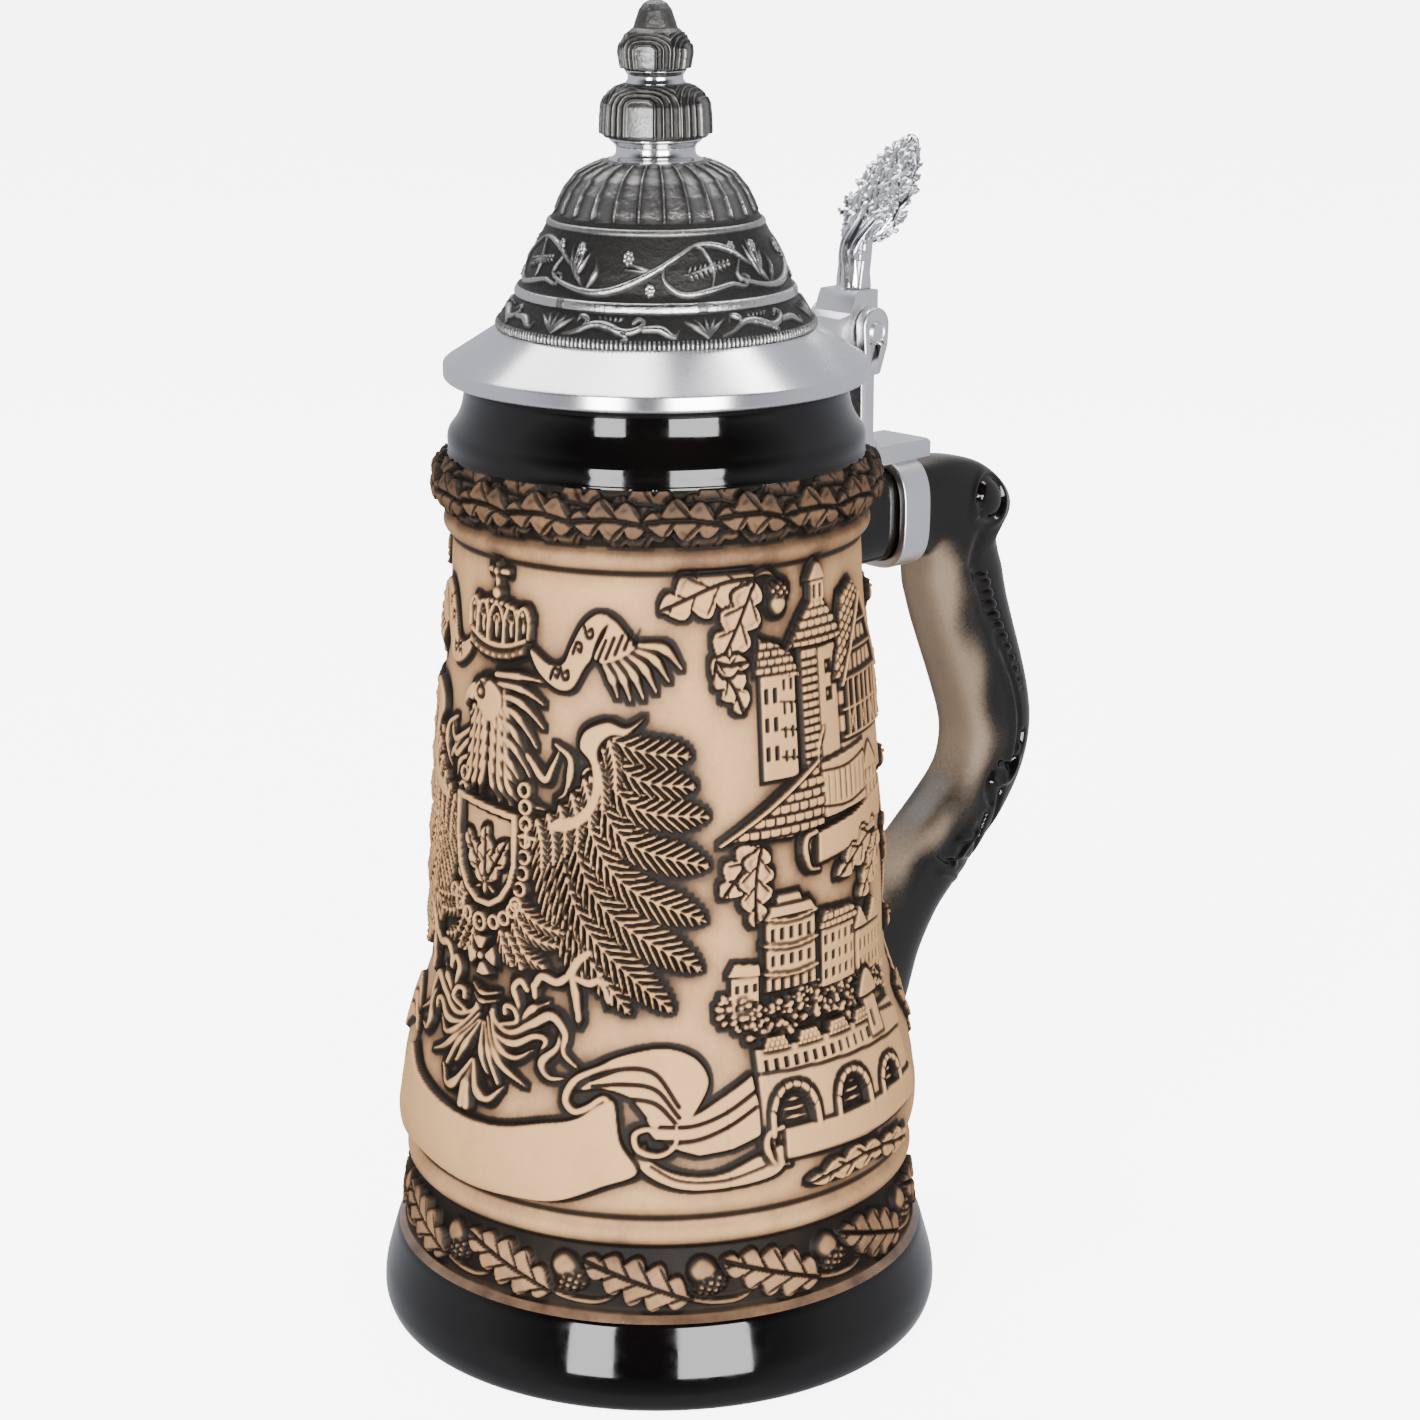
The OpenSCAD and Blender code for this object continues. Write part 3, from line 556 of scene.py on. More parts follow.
def draw_town(r):
    """Upper scene: tower with a conical tiled roof, half-timbered gable, houses and a wall."""
    r.plate(rect(-107, 115, -96.5, 135), 0.9, edge=0.3)
    r.tiled([(-108.5, 134), (-107.5, 141), (-98, 138.5), (-94.5, 132.5), (-99, 133.5)], 1.15, 0.4, 1.5, 0.6)
    for lift in range(3):
        r.groove([(-101.5, 119 + 5 * lift), (-96.8, 118.5 + 5 * lift)], 0.4, 0.5, smooth=False)
    draw_windows(r, -106.2, 118.5, 2, 3, (2.6, 5.2), (1.3, 2.8))
    draw_windows(r, -100.6, 118, 2, 4, (2.1, 4.3), (1.1, 2.1))
    r.plate(rect(-94.5, 113, -88.6, 138), 1.2, edge=0.4)
    r.pattern(rect(-94.3, 113, -88.8, 137), 1.5, 0.6, "bricks")
    r.tiled([(-100, 137.5), (-94, 143.5), (-90.5, 146.2), (-86, 146.2), (-82, 143), (-77.5, 137.5)],
            1.7, 0.7, 1.7, 0.75)
    r.groove([(-100, 138.4), (-88, 137.6), (-77.5, 138.4)], 0.6, 0.6)
    r.plate(rect(-90.4, 145.6, -85.4, 149.6), 1.5, edge=0.3)
    draw_windows(r, -89.8, 146.4, 2, 1, (2.3, 3), (1.3, 2.2))
    r.plate([(-91.6, 149.3), (-87.8, 154.2), (-84.2, 149.3)], 1.6, edge=0.5)
    r.ball(-87.8, 154.2, 0.6, 0.9, 1.4)
    r.plate(rect(-88.4, 113, -79.5, 137.6), 0.85, edge=0.3)
    draw_windows(r, -85.6, 127, 1, 2, (3, 5), (3.2, 2.6))
    r.plate([(-80.5, 110), (-80.5, 129.5), (-68.2, 144), (-66.6, 144), (-56.5, 129.5), (-56.5, 110)],
            1.15, edge=0.4)
    r.tiled([(-83, 130.5), (-77, 145.5), (-70.5, 147.5), (-66.5, 145), (-70, 142.5), (-79, 130)],
            1.5, 0.5, 1.5, 0.6, angle=35)
    r.ridge([(-79.5, 129.2), (-67.6, 144.6), (-55.5, 129)], 1.2, 1.8, tips=(1, 1), smooth=False)
    for z, a0, a1 in ((130, -79, -57), (135, -75, -61.5), (139.6, -71.2, -64.6), (124.6, -79.5, -57),
                      (119.6, -79.5, -57)):
        r.ridge([(a0, z), (a1, z)], 0.85, 1.9, tips=(1, 1), smooth=False)
    for a in np.arange(-77.5, -57, 3.1):
        r.ridge([(a, 119.6), (a, 130)], 0.75, 1.85, tips=(1, 1), smooth=False)
    for a in np.arange(-77.5, -58, 6.2):
        for low, high in ((a, a + 3.1), (a + 3.1, a)):
            r.ridge([(low, 119.8), (high, 124.4)], 0.65, 1.8, tips=(1, 1), smooth=False)
    draw_windows(r, -77, 125.4, 7, 2, (3.1, 2.2), (1.0, 1.5))
    draw_windows(r, -73.5, 131.2, 4, 1, (3.1, 2.2), (1.7, 2.6))
    draw_windows(r, -70, 136, 2, 1, (3.1, 2.2), (1.5, 2.4))
    r.plate([(-90, 116.5), (-70.5, 118), (-70.5, 106.5), (-89, 106)], 1.6, edge=0.5)
    r.pattern([(-89.6, 108.6), (-71, 108.4), (-71, 114.5), (-89.6, 114)], 1.7, 0.7, "boards")
    r.groove([(-90, 115), (-80, 114.6), (-70.5, 116)], 0.6, 0.5)
    r.groove([(-89.5, 108.4), (-80, 107.6), (-71, 108.6)], 0.6, 0.5)
    r.ridge([(-90.6, 113), (-90, 119), (-87.5, 122.5)], 0.8, 1.4, tips=(1, 0.8))
    r.plate(rect(-72, 105.5, -62, 112.5), 1.3, edge=0.4)
    r.plate([(-73, 111.5), (-67, 117), (-61, 111.5)], 1.5, edge=0.5)
    draw_windows(r, -70.2, 107, 3, 2, (2.8, 2.8), (1.4, 1.8))
    r.tiled([(-117.5, 104.6), (-91, 116.6), (-88.6, 113.5), (-89, 105), (-100, 104.2)], 1.4, 0.5, 1.9, 0.75)
    r.ridge([(-119, 104.4), (-90.6, 117)], 1.0, 1.65, tips=(0.7, 1), smooth=False)
    r.groove([(-118, 103.8), (-100, 103.2), (-89, 104)], 0.8, 0.5)
    small_banner(r, -92, 101, -62, 104.5, 6.4)


def small_banner(r, a0, z0, a1, z1, tall):
    """Blank banner with a rolled left end, under a scene."""
    mid = (a0 + a1) / 2
    zm = (z0 + z1) / 2 - 0.6
    h = tall / 2
    r.plate([(a0, z0 - h), (a0, z0 + h), (mid, zm + h), (a1, z1 + h), (a1 + 1.6, z1 + h + 0.8),
             (a1 + 1.2, z1 - h), (a1, z1 - h), (mid, zm - h)], 1.5, edge=0.6)
    r.ridge([(a0, z0 + h), (a0 - 3.2, z0 + h - 0.6), (a0 - 4, z0), (a0 - 2.2, z0 - h),
             (a0 + 1.4, z0 - h - 0.8)], 1.7, 1.7, tips=(0.8, 0.4))
    r.ridge([(a0 - 0.4, z0 + h - 0.8), (a0 - 2.4, z0 + h - 2), (a0 - 1.2, z0 - 1)], 1.1, 1.2,
            tips=(0.7, 0.4))
    r.groove([(a0 + 0.6, z0 - h + 0.6), (mid, zm - h + 0.7), (a1, z1 - h + 0.6)], 0.4, 0.35)


def draw_castle(r, rng):
    """Lower scene: round castle tower and halls, with bushes and an arched bridge under them."""
    r.plate(rect(-108.5, 76, -93, 90.5), 1.5, edge=1.0)
    r.plate([(-109, 90), (-107, 92.5), (-95, 92.5), (-92.6, 90)], 1.7, edge=0.5)
    r.plate([(-105.5, 92), (-104.4, 94.2), (-98, 94.2), (-96.6, 92)], 1.3, edge=0.4)
    for z in (79.5, 84.8, 89.8):
        r.ridge([(-108.4, z + 0.4), (-100.7, z - 0.3), (-93.2, z + 0.4)], 0.7, 1.85, tips=(1, 1))
    draw_windows(r, -106.8, 81, 5, 2, (2.6, 4.9), (1.4, 2.2))
    draw_windows(r, -106.8, 76.6, 5, 1, (2.6, 3), (1.4, 2.2))
    r.plate(rect(-91.5, 74.5, -78.5, 86), 1.15, edge=0.4)
    r.tiled([(-92.5, 85.5), (-90, 89.2), (-79, 88.4), (-76.5, 85.4)], 1.45, 0.4, 1.4, 0.6)
    draw_windows(r, -90.4, 76, 5, 3, (2.5, 3.3), (1.3, 1.9))
    r.plate(rect(-77.5, 73.5, -63, 83), 1.1, edge=0.4)
    r.plate([(-79, 83), (-76, 87.6), (-72, 83.4), (-68, 87.6), (-63, 82.6)], 1.4, edge=0.4)
    draw_windows(r, -76.2, 75, 6, 2, (2.3, 3.6), (1.2, 2))
    r.plate(rect(-117, 72, -109.5, 80), 0.9, edge=0.4)
    draw_windows(r, -116, 73.5, 3, 2, (2.3, 3.3), (1.2, 1.7))
    r.plate([(-118, 80), (-116, 82.6), (-109.5, 82), (-109, 79.5)], 1.1, edge=0.4)
    draw_bushes(r, rng)
    draw_bridge(r)


def draw_bushes(r, rng):
    """Foliage of many small balls under the castle."""
    for k in range(330):
        az = rng.uniform(-120, -62)
        z = rng.uniform(68.5, 75.5) + 1.5 * math.sin(az * 0.25)
        size = rng.uniform(0.45, 1.05)
        r.ball(az, z, size, size * 0.8, rng.uniform(0.7, 1.35))


def draw_bridge(r):
    """Arched bridge with a row of windows, tiled dormers, a gate tower and a banner under it."""
    r.plate([(-112, 50), (-112, 66.5), (-62, 66.5), (-62, 50)], 1.0, edge=0.4)
    r.plate([(-112, 62.5), (-112, 66.5), (-78, 66.5), (-62, 64.5), (-62, 61)], 1.4, edge=0.3)
    for k in range(4):
        a = -110.5 + 9.2 * k
        r.tiled([(a, 65.6), (a + 1.4, 68.4), (a + 6.4, 68.4), (a + 7.8, 65.6)], 1.7, 0.4, 0.9, 0.35)
    draw_windows(r, -110.4, 62.6, 14, 1, (2.6, 3), (1.3, 1.9))
    for az, wide, top in ((-104, 11.5, 59.6), (-87.4, 10.5, 59), (-73, 8.5, 57.6)):
        draw_arch(r, az, wide / 2, 51.4, top)
    r.plate(rect(-78, 62, -71.5, 70), 1.75, edge=0.9)
    r.plate([(-79, 69.6), (-77.4, 73.6), (-74.7, 75.4), (-72, 73.6), (-70.6, 69.6)], 1.85, edge=0.8,
            smooth=True)
    r.groove([(-78.6, 69.6), (-71, 69.6)], 0.5, 0.5, smooth=False)
    draw_windows(r, -76.3, 64, 1, 1, (1, 1), (1.6, 3))
    small_banner(r, -107.5, 49.4, -63, 50, 6.2)


def draw_arch(r, az, half, foot, top):
    """One bridge arch: a stone ring with its joints and boards in the opening."""
    tall = top - foot
    crown = [(az - half * math.cos(a), foot + tall * math.sin(a) ** 0.7)
             for a in np.linspace(0.3, math.pi - 0.3, 9)]
    arch = [(az - half, foot)] + crown + [(az + half, foot)]
    r.ridge(arch, 1.7, 1.6, tips=(1, 1))
    r.sink([(az + (x - az) * 0.8, foot + (z - foot) * 0.86) for x, z in arch], 0.25, edge=0.3)
    for a in np.linspace(0.5, math.pi - 0.5, 7):
        across, up = half * math.cos(a), tall * math.sin(a)
        r.groove([(az - 0.92 * across, foot + 0.92 * up), (az - 1.1 * across, foot + 1.12 * up)],
                 0.3, 0.5, smooth=False)
    for k in range(4):
        z = foot + 1.6 * (k + 0.5)
        r.ridge([(az - half * 0.7, z), (az + half * 0.7, z)], 0.7, 0.75, smooth=False)


def draw_leaf_sprays(r):
    """Oak sprays that hang into the picture and fill the spaces between the scenes."""
    for line, width, height, lobes in (
            ([(-108, 151.6), (-118, 151), (-134, 146.6)], 11, 1.2, 4),
            ([(-108, 151), (-113, 143.5), (-120, 134.5)], 9, 1.25, 4),
            ([(-119, 137), (-114.5, 132.5), (-112, 127.5)], 7, 1.25, 3),
            ([(-119.5, 137.5), (-116, 136.6), (-109.5, 137)], 4.6, 1.2, 2),
            ([(-108.5, 103.6), (-112, 101), (-119, 94.6)], 8, 1.3, 3),
            ([(-108.5, 103.4), (-110, 97.5), (-110.4, 88.6)], 7.6, 1.35, 4),
            ([(-62, 99.5), (-71, 99), (-85, 94)], 7.4, 1.3, 4),
            ([(-62, 99), (-67, 94), (-75.5, 88)], 6.8, 1.35, 4),
            ([(-78, 42), (-87, 42.5), (-102, 40.6)], 6, 1.2, 4),
            ([(-79, 42.5), (-72, 41), (-64, 39.8)], 6, 1.2, 3)):
        r.oak_leaf(line, width, height, lobes)
    r.acorn(-101, 147.8, 3.2, lean=170)
    r.ridge([(-108, 151.6), (-104.5, 152.4), (-101, 151)], 1.0, 1.2)


def draw_back_sprays(r):
    """Oak and acorn branches on both sides of the handle."""
    r.ridge([(-38, 52), (-34, 70), (-40, 90), (-34, 110), (-39, 130), (-35, 148)], 1.6, 1.2,
            tips=(0.8, 0.5))
    for k in range(6):
        z = 56 + 16 * k
        side = -1 if k % 2 else 1
        r.oak_leaf([(-36, z), (-37 - 7 * side, z + 6), (-37 - 16 * side, z + 9)], 9, 1.25, lobes=4)
        r.acorn(-37 + 6 * side, z + 5, 2.6, lean=150 + 30 * side)


def draw_picture(r):
    """Everything in the picture field: the mirrored parts on both sides, then the middle."""
    rng = np.random.default_rng(11)
    draw_banner(r)
    draw_left_banner_end(r)
    for flip in (True, False):
        r.flip = flip
        draw_wing(r)
        draw_tail(r)
        draw_collar(r)
        draw_town(r)
        draw_castle(r, rng)
        draw_leaf_sprays(r)
        draw_back_sprays(r)
    for flip in (True, False):
        r.flip = flip
        draw_ribbon_end(r)
    draw_head(r)
    draw_shield(r)
    draw_crown(r)
    draw_pendant(r)
    r.groove([(-119.5, 38), (-119.5, 152)], 0.35, 0.16, smooth=False)


def draw_garlands(r):
    """Oak leaf garlands above and below the picture, with acorns in the lower one."""
    rng = np.random.default_rng(5)
    units = 12
    for k in range(-1, units + 1):
        az = -364 + k * 360 / units
        r.ridge([(az - 7, 22), (az, 20.4), (az + 7, 20.4), (az + 11, 22.6), (az + 9, 24)], 1.3, 1.2,
                tips=(0.8, 0.3))
        r.oak_leaf([(az - 4, 21.2), (az - 14, 24.2), (az - 27.5, 28)], 9.6, 1.8, lobes=5, hollow=0.1)
        r.acorn(az, 25, 3.9, lean=28)
    leaves = 20
    places = [-360 + (k + 0.4) * 360 / leaves for k in range(-1, leaves + 1)]
    for az in places:
        bend = rng.uniform(-0.5, 0.5)
        r.oak_leaf([(az + 27, 164.6), (az + 18, 166 + bend), (az + 8, 165.6)], 6.4, 1.3, 3, 0.12)
        r.oak_leaf([(az + 24, 161.8), (az + 15, 160.2 - 0.3 * bend), (az + 5, 160.2)], 5.8, 1.3, 3, 0.12)
    for az in places:
        bend = rng.uniform(-0.5, 0.5)
        r.oak_leaf([(az + 18, 162.4), (az + 9, 163.5 + bend), (az - 1.5, 163 + bend)], 7.6, 1.9, 3, 0.12)


# ---------------------------------------------------------------- meshes

def link_object(name, data):
    """A scene object on some data; what it holds is placed by its own coordinates."""
    made = bpy.data.objects.new(name, data)
    bpy.context.scene.collection.objects.link(made)
    return made


def add_mesh(name, points, faces, material):
    """A mesh object from points in millimetres."""
    mesh = bpy.data.meshes.new(name)
    mesh.from_pydata((np.asarray(points, float) * MM).tolist(), [], faces)
    mesh.polygons.foreach_set("use_smooth", [True] * len(mesh.polygons))
    mesh.materials.append(material)
    mesh.update()
    return link_object(name, mesh)


def grid_faces(rows, columns, closed):
    """Faces of a grid of points that is closed round its columns.

    A closed grid also joins its last row to its first. An open one ends in two rows that each
    stand at one point, so its end faces are triangles. Returns the faces' point numbers and
    their u and v corner by corner, their sizes and the row that each starts from.
    """
    last = rows if closed else rows - 1
    i, j = np.meshgrid(np.arange(last), np.arange(columns), indexing="ij")
    up, over = (i + 1) % rows, (j + 1) % columns
    quads = np.stack([i * columns + j, i * columns + over, up * columns + over, up * columns + j], -1)
    u = np.stack([j, j + 1, j + 1, j], -1) / columns
    v = np.stack([i, i, i + 1, i + 1], -1) / last
    quads, u, v, row = quads.reshape(-1, 4), u.reshape(-1, 4), v.reshape(-1, 4), i.ravel()
    if closed:
        return quads.ravel(), u.ravel(), v.ravel(), np.full(len(quads), 4), row
    first, final = row == 0, row == last - 1
    body = ~first & ~final
    corners, us, vs = [quads[body]], [u[body]], [v[body]]
    for end, centre, pick in ((first, 0, [2, 3]), (final, (rows - 1) * columns, [0, 1])):
        corners.append(np.column_stack([np.full(columns, centre), quads[end][:, pick]]))
        us.append(np.column_stack([u[end][:, 0], u[end][:, pick]]))
        vs.append(np.column_stack([v[end][:, 3 - pick[0]], v[end][:, pick]]))
    sizes = np.concatenate([np.full(body.sum(), 4), np.full(2 * columns, 3)])
    flat = [np.concatenate([part.ravel() for part in parts]) for parts in (corners, us, vs)]
    return *flat, sizes, np.concatenate([row[body], row[first], row[final]])


def add_grid(name, points, materials, closed, slots=None, fields=None):
    """A tube of faces from points[row, column] in millimetres; see grid_faces for closed.

    slots gives each row of faces its material, and fields are values per point that the
    materials read.
    """
    corners, u, v, sizes, face_row = grid_faces(*points.shape[:2], closed)
    used, index = np.unique(corners, return_inverse=True)
    mesh = bpy.data.meshes.new(name)
    mesh.vertices.add(len(used))
    mesh.vertices.foreach_set("co", (points.reshape(-1, 3)[used] * MM).astype(np.float32).ravel())
    mesh.loops.add(len(index))
    mesh.loops.foreach_set("vertex_index", index.astype(np.int32).ravel())
    mesh.polygons.add(len(sizes))
    mesh.polygons.foreach_set("loop_start", (np.cumsum(sizes) - sizes).astype(np.int32))
    mesh.polygons.foreach_set("loop_total", sizes.astype(np.int32))
    mesh.polygons.foreach_set("use_smooth", np.ones(len(sizes), bool))
    for material in materials:
        mesh.materials.append(material)
    if slots is not None:
        mesh.polygons.foreach_set("material_index", np.asarray(slots, np.int32)[face_row])
    layer = mesh.uv_layers.new(name="OFBake")
    layer.data.foreach_set("uv", np.stack([u, v], -1).astype(np.float32).ravel())
    for key, values in (fields or {}).items():
        attribute = mesh.attributes.new(key, "FLOAT", "POINT")
        attribute.data.foreach_set("value", values.reshape(-1)[used].astype(np.float32))
    mesh.update(calc_edges=True)
    mesh.validate()
    return link_object(name, mesh)


def finish_piece(piece, body, slot, *nodes):
    """Rides and, where nodes are given, replaces them."""
    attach(piece, body)
    if nodes:
        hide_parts(*nodes)


def round_edges(piece, width, angle):
    """A bevel of a width in mm on edges that turn by more than angle degrees."""
    bevel = piece.modifiers.new("round", "BEVEL")
    bevel.width = width * MM
    bevel.segments = 3
    bevel.limit_method = "ANGLE"
    bevel.angle_limit = math.radians(angle)
    bevel.harden_normals = True


# ---------------------------------------------------------------- turned outlines

def section_links(name):
    """Which (x, z) points are joined in a CAD node's section at y = 0, on the +X side."""
    co = node_points(name)
    on_section = (np.abs(co[:, 1]) < 0.002) & (co[:, 0] > -0.002)
    key = [tuple(p) for p in np.round(co[:, [0, 2]], 2)]
    links = {}
    for a, b in (e.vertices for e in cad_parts[name].data.edges):
        if on_section[a] and on_section[b] and key[a] != key[b]:
            links.setdefault(key[a], set()).add(key[b])
            links.setdefault(key[b], set()).add(key[a])
    return links


def cad_outline(name):
    """The (radius, height) outline of a turned CAD node, read along its seam at azimuth 0.

    It starts at the outer edge of the underside and goes up the outside. A flat end that crosses
    the axis has no point there, so the outline stops at its edge, and what is made from the
    outline joins that last point straight to the first.
    """
    links = section_links(name)
    loose = [p for p in links if len(links[p]) == 1]
    for p in loose:
        twins = [q for q in loose if q != p and abs(q[1] - p[1]) < 0.02]
        if twins:
            links[p].add(min(twins, key=lambda q: abs(q[0] - p[0])))
    start = min(links, key=lambda p: (p[1], -p[0]))
    path = [start, max(links[start], key=lambda q: (q[0], -q[1]))]
    seen = set(path)
    while ahead := [q for q in links[path[-1]] if q not in seen]:
        path.append(ahead[0])
        seen.add(ahead[0])
    return np.array(path)


def even_line(line, step):
    """A closed line with points an even step apart."""
    length = arc_length(line)
    at = np.linspace(0, length[-1], max(int(length[-1] / step), 8) + 1)[:-1]
    return np.stack([np.interp(at, length, line[:, k]) for k in (0, 1)], 1)


def smooth_outline(points, step, soften):
    """A closed outline as an even, dense line: gentle bends become curves, corners small rounds."""
    corner = 28
    p = np.array(points, float)
    ring = np.vstack([p[-1], p, p[0]])
    heading = np.arctan2(*(ring[1:] - ring[:-1]).T[::-1])
    sharp = np.degrees(np.abs(np.angle(np.exp(1j * (heading[1:] - heading[:-1]))))) > corner
    first = int(np.argmax(sharp))
    dense, run = [], [p[first]]
    for k in [*range(first + 1, len(p)), *range(first + 1)]:
        run.append(p[k])
        if sharp[k] or k == first:
            dense.append(curve(run, 8) if len(run) > 2 else np.array(run))
            run = [p[k]]
    even = even_line(np.vstack([part[:-1] for part in dense] + [dense[-1][-1:]]), step)
    sigma = soften / step
    if sigma <= 0.3:
        return even
    kernel, reach = gaussian(sigma)
    padded = np.vstack([even[-reach:], even, even[:reach]])
    return np.stack([np.convolve(padded[:, k], kernel, "valid") for k in (0, 1)], 1)


def outline_normals(line):
    """Unit normals that point away from the material, for an outline that runs anticlockwise."""
    tangent = np.roll(line, -1, 0) - np.roll(line, 1, 0)
    tangent /= np.maximum(np.hypot(*tangent.T), 1e-9)[:, None]
    return np.stack([tangent[:, 1], -tangent[:, 0]], 1)


def turn_grid(line, normals, azimuths, rise):
    """Points of a surface of revolution, each moved along its normal by rise."""
    radius = line[:, :1] + normals[:, :1] * rise
    height = line[:, 1:] + normals[:, 1:] * rise
    return np.stack([radius * np.cos(azimuths), radius * np.sin(azimuths), height], -1)


def turned_piece(name, node, slot, material, step, columns, soften, rise=None, fields=None):
    """A dense turned piece of the lid on a CAD node's outline.

    rise(line, azimuths) gives its relief and fields(line, azimuths) the values that its
    material reads.
    """
    line = smooth_outline(cad_outline(node), step, soften)
    azimuths = turns(columns)
    lift = rise(line, azimuths) if rise else np.zeros((len(line), columns))
    values = fields(line, azimuths) if fields else {}
    points = turn_grid(line, outline_normals(line), azimuths, lift)
    piece = add_grid(name, points, [material], True, fields=values)
    finish_piece(piece, "lid", slot, node)


# ---------------------------------------------------------------- materials

class Paint:
    """A material's node tree with short calls for the nodes that are used here."""

    def __init__(self, name, roughness=0.5, metallic=0.0, coat=0.0, specular=0.5, anisotropy=0.0):
        self.material = bpy.data.materials.new(name)
        self.material.use_nodes = True
        self.tree = self.material.node_tree
        self.shader = self.tree.nodes["Principled BSDF"]
        self.shader.inputs["Roughness"].default_value = roughness
        self.shader.inputs["Metallic"].default_value = metallic
        self.shader.inputs["Coat Weight"].default_value = coat
        self.shader.inputs["Coat Roughness"].default_value = 0.04
        self.shader.inputs["Specular IOR Level"].default_value = specular
        self.shader.inputs["Anisotropic"].default_value = anisotropy
        self.shader.inputs["Anisotropic Rotation"].default_value = 0.25

    def node(self, kind, **values):
        made = self.tree.nodes.new(kind)
        for key, value in values.items():
            setattr(made, key, value)
        return made

    def link(self, a, b):
        self.tree.links.new(a, b)

    def field(self, name):
        made = self.node("ShaderNodeAttribute", attribute_name=name)
        return made.outputs["Fac"]

    def noise(self, scale, detail, rough=0.55, stretch=(1, 1, 1)):
        place = self.node("ShaderNodeTexCoord")
        sized = self.node("ShaderNodeMapping")
        sized.inputs["Scale"].default_value = stretch
        made = self.node("ShaderNodeTexNoise")
        made.inputs["Scale"].default_value = scale
        made.inputs["Detail"].default_value = detail
        made.inputs["Roughness"].default_value = rough
        self.link(place.outputs["Object"], sized.inputs["Vector"])
        self.link(sized.outputs["Vector"], made.inputs["Vector"])
        return made.outputs["Fac"]

    def ramp(self, source, stops):
        """A colour ramp; a stop's value is a colour or, for a grey, one number."""
        made = self.node("ShaderNodeValToRGB")
        points = made.color_ramp.elements
        while len(points) < len(stops):
            points.new(0.5)
        for point, (at, colour) in zip(points, stops):
            point.position = at
            point.color = (*(colour if isinstance(colour, tuple) else (colour,) * 3), 1)
        self.link(source, made.inputs["Fac"])
        return made.outputs["Color"]

    def maths(self, kind, a, b, clamp=False):
        made = self.node("ShaderNodeMath", operation=kind, use_clamp=clamp)
        for value, socket in ((a, made.inputs[0]), (b, made.inputs[1])):
            if isinstance(value, (int, float)):
                socket.default_value = value
            else:
                self.link(value, socket)
        return made.outputs["Value"]

    def varied(self, value, noise, middle, amount):
        """A value from 0 to 1 that a noise pushes up and down."""
        push = self.maths("MULTIPLY", self.maths("SUBTRACT", noise, middle), amount)
        return self.maths("ADD", value, push, True)

    def mix(self, share, a, b, kind="MIX"):
        made = self.node("ShaderNodeMix", data_type="RGBA", blend_type=kind)
        for value, socket in ((share, made.inputs["Factor"]), (a, made.inputs["A"]), (b, made.inputs["B"])):
            if isinstance(value, tuple):
                socket.default_value = (*value, 1)
            elif isinstance(value, (int, float)):
                socket.default_value = value
            else:
                self.link(value, socket)
        return made.outputs["Result"]

    def colour(self, value):
        self.link(value, self.shader.inputs["Base Color"])

    def roughness(self, value):
        self.link(value, self.shader.inputs["Roughness"])

    def turned_marks(self, scale, squeeze, strength):
        """Highlights that fan out round the Z axis, and fine rings left by the lathe."""
        tangent = self.node("ShaderNodeTangent", direction_type="RADIAL", axis="Z")
        self.link(tangent.outputs["Tangent"], self.shader.inputs["Tangent"])
        self.bump(self.noise(scale, 3, 0.6, stretch=(0.02, 0.02, squeeze)), strength, 0.0002)

    def bump(self, source, strength, distance):
        made = self.node("ShaderNodeBump")
        made.inputs["Strength"].default_value = strength
        made.inputs["Distance"].default_value = distance
        self.link(source, made.inputs["Height"])
        self.link(made.outputs["Normal"], self.shader.inputs["Normal"])


def stoneware_paint():
    """Unglazed cream clay with an umber stain that was wiped off the high places; on the garland bands the
    stain field also holds painted shade.
    """
    p = Paint("stained_stoneware", specular=0.12)
    cloud = p.noise(38, 3)
    grain = p.noise(900, 6, 0.7)
    cream = p.mix(cloud, (0.52, 0.305, 0.138), (0.44, 0.25, 0.108))
    # The stain field darkens the clay: umber stain in the hollows, and painted shade over the garland bands.
    stain = p.varied(p.field("stain"), grain, 0.5, 0.16)
    stain = p.varied(stain, p.noise(75, 5, 0.65, stretch=(1, 1, 0.6)), 0.53, 0.42)
    wash = p.ramp(stain, [(0.0, 1.0), (0.16, (0.68, 0.67, 0.72)), (0.36, (0.25, 0.24, 0.29)),
                          (0.58, (0.062, 0.068, 0.098)), (1.0, (0.014, 0.018, 0.030))])
    p.colour(p.mix(1.0, cream, wash, "MULTIPLY"))
    worn = p.maths("ADD", stain, p.maths("MULTIPLY", grain, 0.3))
    p.roughness(p.ramp(worn, [(0.0, 0.68), (1.0, 0.55)]))
    p.bump(p.mix(0.5, grain, p.noise(260, 5)), 0.25, 0.0002)
    return p.material


def black_glaze_paint():
    """Glossy black-brown glaze with a faint ripple."""
    p = Paint("black_glaze", roughness=0.07, specular=0.4)
    p.colour(p.ramp(p.noise(30, 3), [(0.3, (0.001, 0.0009, 0.0009)), (0.75, (0.0026, 0.002, 0.0018))]))
    p.roughness(p.ramp(p.noise(420, 5), [(0.35, 0.05), (0.75, 0.12)]))
    p.bump(p.noise(60, 2), 0.06, 0.0006)
    return p.material


def inner_glaze_paint():
    """Clear glaze over pale clay, inside the vessel."""
    p = Paint("inner_glaze", roughness=0.16, coat=0.3)
    p.colour(p.ramp(p.noise(120, 5), [(0.3, (0.50, 0.43, 0.34)), (0.7, (0.58, 0.51, 0.41))]))
    p.roughness(p.ramp(p.noise(300, 4), [(0.3, 0.13), (0.8, 0.24)]))
    p.bump(p.noise(90, 3), 0.12, 0.0005)
    return p.material


